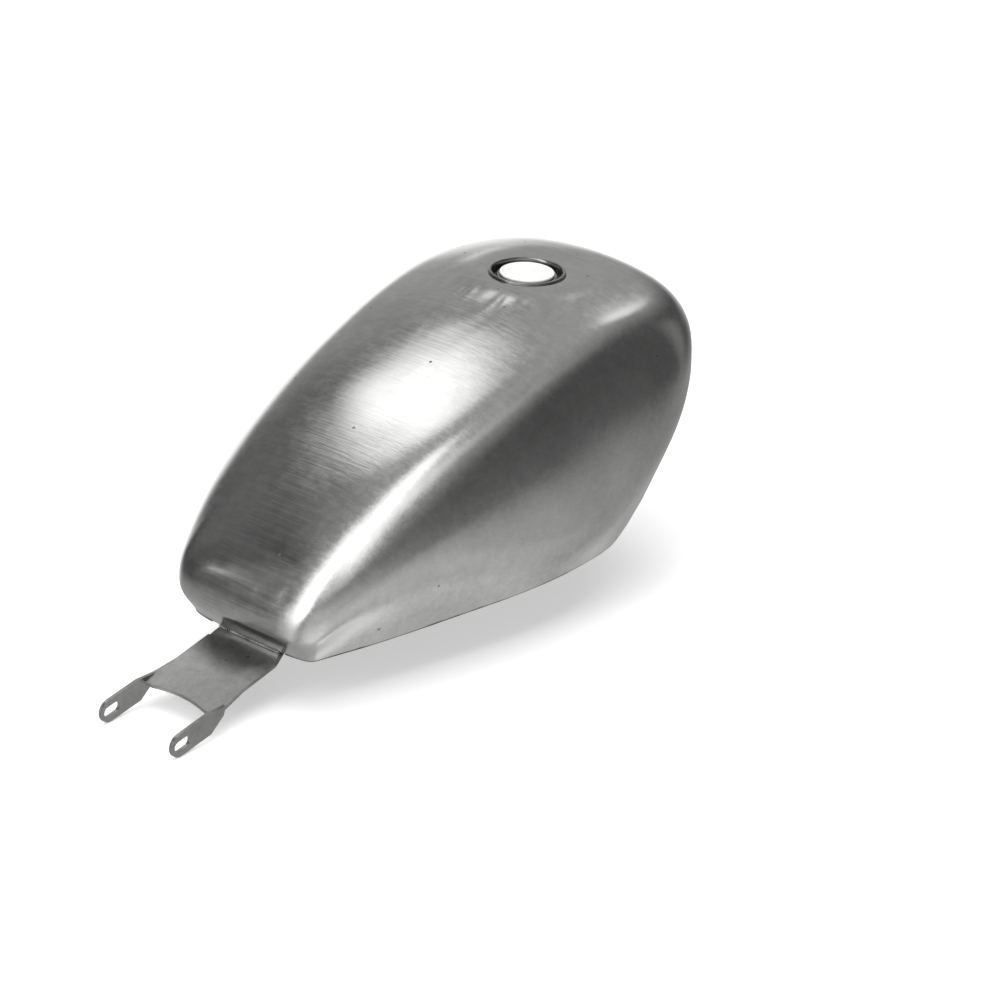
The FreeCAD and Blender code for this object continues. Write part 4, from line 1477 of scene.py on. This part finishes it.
@dataclass
class Welds:
    """The weld beads that join skin, pans, tunnel and bracket, and the dark hem below the rim."""

    form: BodyForm
    leg_gap: float = 0.6
    rim_radius: float = 1.25
    rim_flat: float = 0.8
    rim_shift: tuple[float, float, float] = (0.0, 0.0, 0.55)
    hem_radius: float = 0.9
    hem_scale: tuple[float, float, float] = (0.997, 0.992, 1.0)
    hem_shift: tuple[float, float, float] = (0.7, 0.0, -0.35)
    pan_radius: float = 1.5
    pan_run: tuple[float, float] = (14.0, 462.0)
    pan_shift: tuple[float, float] = (0.9, -0.5)
    nose_radius: float = 1.5
    nose_shift: tuple[float, float, float] = (-0.3, 0.0, 0.9)
    tongue_radius: float = 1.4
    tongue_ripple: float = 0.22
    tongue_half: float = 34.0
    tongue_x: float = 4.0
    tongue_shift: tuple[float, float] = (0.1, -0.7)

    def left_half(self, loop: np.ndarray) -> np.ndarray:
        """The left half of a loop round the body, as far as the tunnel's leg."""
        half = loop[:len(loop) // 2 + 1]
        return half[half[:, 1] > self.form.tunnel_half + self.leg_gap]

    def tongue_line(self) -> np.ndarray:
        """The bead's path on the bracket's tongue, across the rear end.

        Returns:
            Points of the path.
        """
        y = np.linspace(-self.tongue_half, self.tongue_half, 160)
        z = np.full_like(y, self.form.ceiling(np.array(self.tongue_x)) + self.tongue_shift[1])
        return np.stack([self.form.end_face(y, z, front=False) + self.tongue_shift[0], y, z], -1)

    def pan_line(self, side: int) -> np.ndarray:
        """The bead's path between a pan and the tunnel's leg.

        Args:
            side: 1 for the left pan and -1 for the right one.

        Returns:
            Points of the path.
        """
        x = np.linspace(*self.pan_run, 300)
        y = np.full_like(x, self.form.tunnel_half + self.pan_shift[0])
        return np.stack([x, y * side, self.form.pan_height(x, y) + self.pan_shift[1]], -1)

    def build(self, skin: BodySkin, tunnel: TunnelSheet, finishes: Finishes) -> None:
        """Lays every bead.

        Args:
            skin: The finished skin.
            tunnel: The finished tunnel.
            finishes: The materials.
        """
        beads = []
        for side, word in ((1, "left"), (-1, "right")):
            mirror = np.array([1, side, 1])
            rim = self.left_half(skin.rim_line) * mirror + self.rim_shift
            beads.append(bead(f"rim_weld_{word}", rim, self.rim_radius, flat=self.rim_flat))
            hem = self.left_half(skin.lower_line) * (mirror * self.hem_scale) + self.hem_shift
            hem_piece = bead(f"rim_hem_{word}", hem, self.hem_radius, ripple=0.0)
            finishes.dress(hem_piece, HEM)
            beads.append(bead(f"pan_weld_{word}", self.pan_line(side), self.pan_radius))
        nose = tunnel.outer_face[:, -1] + self.nose_shift
        beads.append(bead("nose_weld", nose, self.nose_radius, up=(1.0, 0.0, 0.0)))
        beads.append(bead("tongue_weld", self.tongue_line(), self.tongue_radius, self.tongue_ripple,
                          up=(-1.0, 0.0, 0.4)))
        for piece in beads:
            finishes.dress(piece, WELD)


# ---- plates and machined pieces -----------------------------------------------------------------

def eased_copy(node: str, name: str, width: float, segments: int = 2) -> bpy.types.Object:
    """A copy of a CAD node with its flat faces whole again and its edges rounded by a bevel.

    Args:
        node: The CAD node.
        name: The new piece's name.
        width: Width of the rounding in metres.
        segments: Steps across it.

    Returns:
        The new object.
    """
    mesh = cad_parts[node].data.copy()
    mesh.name = name
    bm = bmesh.new()
    bm.from_mesh(mesh)
    bmesh.ops.remove_doubles(bm, verts=bm.verts, dist=1e-6)
    bmesh.ops.dissolve_limit(bm, angle_limit=math.radians(0.6), verts=bm.verts, edges=bm.edges)
    bm.to_mesh(mesh)
    bm.free()
    mesh.polygons.foreach_set("use_smooth", np.ones(len(mesh.polygons), bool))
    mesh.set_sharp_from_angle(angle=math.radians(30))
    piece = bpy.data.objects.new(name, mesh)
    bpy.context.scene.collection.objects.link(piece)
    rounding = piece.modifiers.new("rounded_edges", "BEVEL")
    rounding.width, rounding.segments = width, segments
    rounding.limit_method, rounding.angle_limit = "ANGLE", math.radians(35)
    rounding.harden_normals = True
    return piece


@dataclass
class Fittings:
    """Plates and machined fittings: bracket, ears, pump flange and nuts, bung, vent and disc."""

    plate_edge: float = 0.0005
    fine_edge: float = 0.00025

    def build(self, finishes: Finishes) -> None:
        """Makes each fitting from its CAD node with its edges eased.

        Args:
            finishes: The materials.
        """
        for node in ("rear_bracket", "front_left_ear", "front_right_ear", "plug_weld_disc"):
            piece = eased_copy(node, node + "_plate", self.plate_edge)
            finishes.dress(piece, PLATE, replaces=(node,))
        for node in ("pump_flange", "pump_weld_nuts", "outlet_bung", "vent_nipple", "vent_tube"):
            piece = eased_copy(node, node + "_machined", self.fine_edge)
            finishes.dress(piece, MACHINED, replaces=(node,))


@dataclass
class Filler:
    """The recess, neck and push-in plug on top."""

    form: BodyForm
    depth: float = 9.0
    bore: float = 46.0
    neck_wall: float = 2.0
    neck_length: float = 27.0
    neck_below: float = 2.6
    gap: float = 0.3
    head_overlap: float = 1.2
    head: float = 2.4
    plug_depth: float = 14.0
    plug_wall: float = 1.6

    def turned(self, name: str, section: list[tuple[float, float]], rounding: float) -> bpy.types.Object:
        """A section of (radius, height) corners, rounded and turned about the filler's axis.

        Args:
            name: The piece's name.
            section: Corners in order.
            rounding: Size of each arc.

        Returns:
            The new object.
        """
        return turned_piece(name, rounded_profile(section, rounding), (self.form.filler_x, 0))

    def cup(self) -> bpy.types.Object:
        """The recess: a rolled lip, an upright wall and a flat floor.

        Returns:
            The recess.
        """
        top, r, wall = self.form.filler_level(), self.form.cup_radius, self.form.wall
        neck = self.bore / 2 + self.neck_wall
        floor = top - self.depth
        section = [(r, top - 1.8), (r + 0.4, top - 0.2), (r + 0.3, top + 0.8), (r - 0.6, top + 1.3),
                   (r - 1.8, top + 1.2), (r - 2.5, top + 0.3), (r - 3.0, top - 1.5), (r - 3.2, floor + 2.2),
                   (r - 4.4, floor + wall), (neck, floor + wall), (neck, floor), (r - 3.4, floor),
                   (r - 1.8, floor + 1.6), (r - 1.2, top - 1.8)]
        return self.turned("filler_cup_ring", section, 0.7)

    def neck(self) -> bpy.types.Object:
        """The neck: a tube with a rolled lip for the plug to sit on.

        Returns:
            The neck.
        """
        top = self.form.filler_level() - self.neck_below
        bore = self.bore / 2
        out = bore + self.neck_wall
        section = [(bore, top - self.neck_length), (bore, top - 0.9), (bore + 0.9, top), (out + 1.2, top),
                   (out + 2, top - 0.8), (out + 2, top - 2.4), (out + 1.2, top - 3.2), (out, top - 3.2),
                   (out, top - self.neck_length)]
        return self.turned("filler_neck_tube", section, 0.5)

    def plug(self) -> bpy.types.Object:
        """The plug: a dished disc with a raised rim, a ring and a gate mark, over a thin skirt.

        Returns:
            The plug.
        """
        seat = self.form.filler_level() - self.neck_below + self.gap
        skirt = self.bore / 2 - self.gap
        head = self.bore / 2 + self.head_overlap
        top = seat + self.head
        low, inside = seat - self.plug_depth, skirt - self.plug_wall
        section = [(0.2, seat), (inside, seat), (inside, low), (skirt - 0.7, low), (skirt, low + 1.6),
                   (skirt, seat), (head - 0.3, seat), (head, seat + 0.6), (head - 0.1, top - 0.5),
                   (head - 0.9, top), (head - 2.6, top), (head - 3.6, top - 0.6), (head - 8.2, top - 0.62),
                   (head - 8.6, top - 0.4), (head - 9.0, top - 0.62), (3.2, top - 0.66), (2.2, top - 0.3),
                   (1.0, top - 0.3), (0.2, top - 0.3)]
        return self.turned("filler_plug_cap", section, 0.45)

    def build(self, finishes: Finishes) -> None:
        """Makes the three pieces.

        Args:
            finishes: The materials.
        """
        # The dark steel of the cup and neck is partly painted shade for the recess.
        finishes.dress(self.cup(), TURNED_SHADED, replaces=("filler_cup",))
        finishes.dress(self.neck(), TURNED_SHADED, replaces=("filler_neck",))
        finishes.dress(self.plug(), WHITE_PLASTIC, body="plug", replaces=("filler_plug",))


# ---- studio -------------------------------------------------------------------------------------

@dataclass(frozen=True)
class SoftLight:
    """A soft-edged light far off in the room: where it stands, its half sizes in degrees, turn and glow."""

    azimuth: float
    elevation: float
    wide: float
    tall: float
    turn: float
    glow: float

    def axes(self) -> tuple[Vector, Vector, Vector]:
        """The directions to its middle, along its width and along its height.

        Returns:
            Three unit vectors.
        """
        azimuth, elevation, turn = (math.radians(a) for a in (self.azimuth, self.elevation, self.turn))
        out = Vector((math.cos(elevation) * math.cos(azimuth), math.cos(elevation) * math.sin(azimuth),
                      math.sin(elevation)))
        side = Vector((-math.sin(azimuth), math.cos(azimuth), 0))
        rise = out.cross(side)
        cos, sin = math.cos(turn), math.sin(turn)
        return out, side * cos + rise * sin, rise * cos - side * sin


@dataclass
class Studio:
    """Camera, pale floor and a room with soft lights."""

    camera_place: tuple[float, float, float] = (-1.88114, -1.27224, 0.91662)
    yaw: float = 37.192
    pitch: float = 25.593
    roll: float = 3.0525
    lens: float = 93.23
    floor_size: float = 14.0
    floor_glow: float = 0.42
    floor_gap: float = 0.0005
    overhead_watts: float = 62.0
    overhead_size: float = 3.0
    overhead_place: tuple[float, float, float] = (-0.3, 0.0, 3.0)
    room: tuple[float, float, float] = (0.48, 0.108, 0.84)
    room_steps: tuple[float, float] = (-0.324, 0.979)
    room_blends: tuple[float, float] = (0.25, 0.3)
    light_edge: tuple[float, float] = (1.5, 0.5)
    far_off: float = 9.0
    lights: tuple[SoftLight, ...] = (
        SoftLight(73, 60, 9, 13, 0, 2.16),
        SoftLight(171, 31, 10, 45, -18, 2.48),
        SoftLight(-175, 79, 5, 10, 0, 1.76),
        SoftLight(52, -10, 34, 15, -7, 1),
        SoftLight(41, 27, 23, 45, 34, 0.368),
        SoftLight(-25, -57, 7.5, 20, -49, 0.52),
        SoftLight(-140, -13, 60, 43, -52, 0.68),
        SoftLight(136, 16, 1.5, 3, 20, 1.44),
        SoftLight(15, 43, 4.5, 9, 0, 0.96),
        SoftLight(-155, 52, 10, 10, 0, 0.56),
        SoftLight(-18, 8, 8, 20, 0, 0.144),
        SoftLight(98, 32, 25, 18, 0, 0.08),
    )

    def camera(self) -> None:
        """Places the camera: yaw and pitch turn its view, and roll turns it about its own axis."""
        data = bpy.data.cameras.new("studio_camera")
        data.lens, data.sensor_width = self.lens, 36.0
        data.dof.use_dof = False
        camera = bpy.data.objects.new("studio_camera", data)
        bpy.context.scene.collection.objects.link(camera)
        yaw, pitch, roll = (math.radians(a) for a in (self.yaw, self.pitch, self.roll))
        view = Vector((math.cos(pitch) * math.cos(yaw), math.cos(pitch) * math.sin(yaw), -math.sin(pitch)))
        right = Vector((math.sin(yaw), -math.cos(yaw), 0))
        up = right.cross(view)
        turned_right = right * math.cos(roll) + up * math.sin(roll)
        turned_up = up * math.cos(roll) - right * math.sin(roll)
        camera.matrix_world = Matrix.Translation(self.camera_place) @ Matrix(
            (turned_right, turned_up, -view)).transposed().to_4x4()
        bpy.context.scene.camera = camera

    def overhead(self) -> None:
        """A large light above that brightens the floor and the plastic but leaves no mark on the steel."""
        data = bpy.data.lights.new("overhead_light", "AREA")
        data.energy, data.size = self.overhead_watts, self.overhead_size
        light = bpy.data.objects.new("overhead_light", data)
        light.location = self.overhead_place
        light.visible_glossy = False
        bpy.context.scene.collection.objects.link(light)

    def floor(self) -> None:
        """A pale floor just under the tank's box, clear from below and not reflected in the steel."""
        level, half = CAD_BOX[0].z - self.floor_gap, self.floor_size / 2
        corners = [(x * half, y * half, level) for x, y in ((-1, -1), (1, -1), (1, 1), (-1, 1))]
        mesh = bpy.data.meshes.new("floor")
        mesh.from_pydata(corners, [], [(0, 1, 2, 3)])
        floor = bpy.data.objects.new("floor", mesh)
        bpy.context.scene.collection.objects.link(floor)
        board = Board("pale_floor")
        board.set(Base_Color=(0.86, 0.86, 0.86, 1), Roughness=0.8, Specular_IOR_Level=0.0,
                  Emission_Color=(1, 1, 1, 1), Emission_Strength=self.floor_glow)
        clear = board.tree.nodes.new("ShaderNodeBsdfTransparent")
        sides = board.tree.nodes.new("ShaderNodeMixShader")
        board.feed(sides, 0, board.tree.nodes.new("ShaderNodeNewGeometry").outputs["Backfacing"])
        board.feed(sides, 1, board.shader.outputs[0])
        board.feed(sides, 2, clear.outputs[0])
        board.feed(board.output, 0, sides.outputs[0])
        mesh.materials.append(board.material)
        floor.visible_glossy = False

    def spot(self, board: RoomBoard, light: SoftLight) -> bpy.types.NodeSocket:
        """One light's glow: full within half its size, and faded out smoothly at one and a half times.

        Args:
            board: The room's nodes.
            light: The light.

        Returns:
            The glow.
        """
        out, side, rise = light.axes()
        squares = []
        for axis, size in ((side, light.wide), (rise, light.tall)):
            share = board.measure("DOT_PRODUCT", board.place, axis / math.sin(math.radians(size)))
            squares.append(board.math("POWER", share, 2.0))
        away = board.math("SQRT", board.math("ADD", *squares))
        behind = board.math("LESS_THAN", board.measure("DOT_PRODUCT", board.place, out), 0.0)
        away = board.math("MULTIPLY_ADD", behind, self.far_off, away)
        return board.between(away, *self.light_edge, 0.0, light.glow)

    def world(self) -> None:
        """The room: mid grey below, dark round the horizon, lighter overhead, with the soft lights added."""
        board = RoomBoard("studio")
        height = board.parts(board.place)[2]
        low, middle, high = self.room
        (step, blend), (step_up, blend_up) = zip(self.room_steps, self.room_blends)
        glow = board.between(height, step - blend, step + blend, low, middle)
        above = board.between(height, step_up - blend_up, step_up + blend_up, 0.0, high - middle)
        for share in (above, *(self.spot(board, light) for light in self.lights)):
            glow = board.math("ADD", glow, share)
        path = board.tree.nodes.new("ShaderNodeLightPath")
        glow = board.math("MAXIMUM", glow, path.outputs["Is Camera Ray"])
        board.set(Color=(1, 1, 1, 1))
        board.feed(board.shader, "Strength", glow)
        bpy.context.scene.world = board.world

    def build(self) -> None:
        """Sets the whole studio and a plain view transform."""
        self.camera()
        self.floor()
        self.overhead()
        self.world()
        bpy.context.scene.view_settings.view_transform = "Standard"


# ---- everything ---------------------------------------------------------------------------------


def main() -> None:
    """Builds the studio and every piece of the tank in order."""
    logging.basicConfig(level=logging.INFO, format="%(name)s: %(message)s")
    Studio().build()
    finishes = Finishes()
    skin = BodySkin(FORM)
    skin.build(finishes)
    for side in (1, -1):
        PanSheet(FORM, side).build(skin, finishes)
    tunnel = TunnelSheet(FORM)
    tunnel.build(finishes)
    Welds(FORM).build(skin, tunnel, finishes)
    Fittings().build(finishes)
    Filler(FORM).build(finishes)


if __name__ == "__main__":
    main()
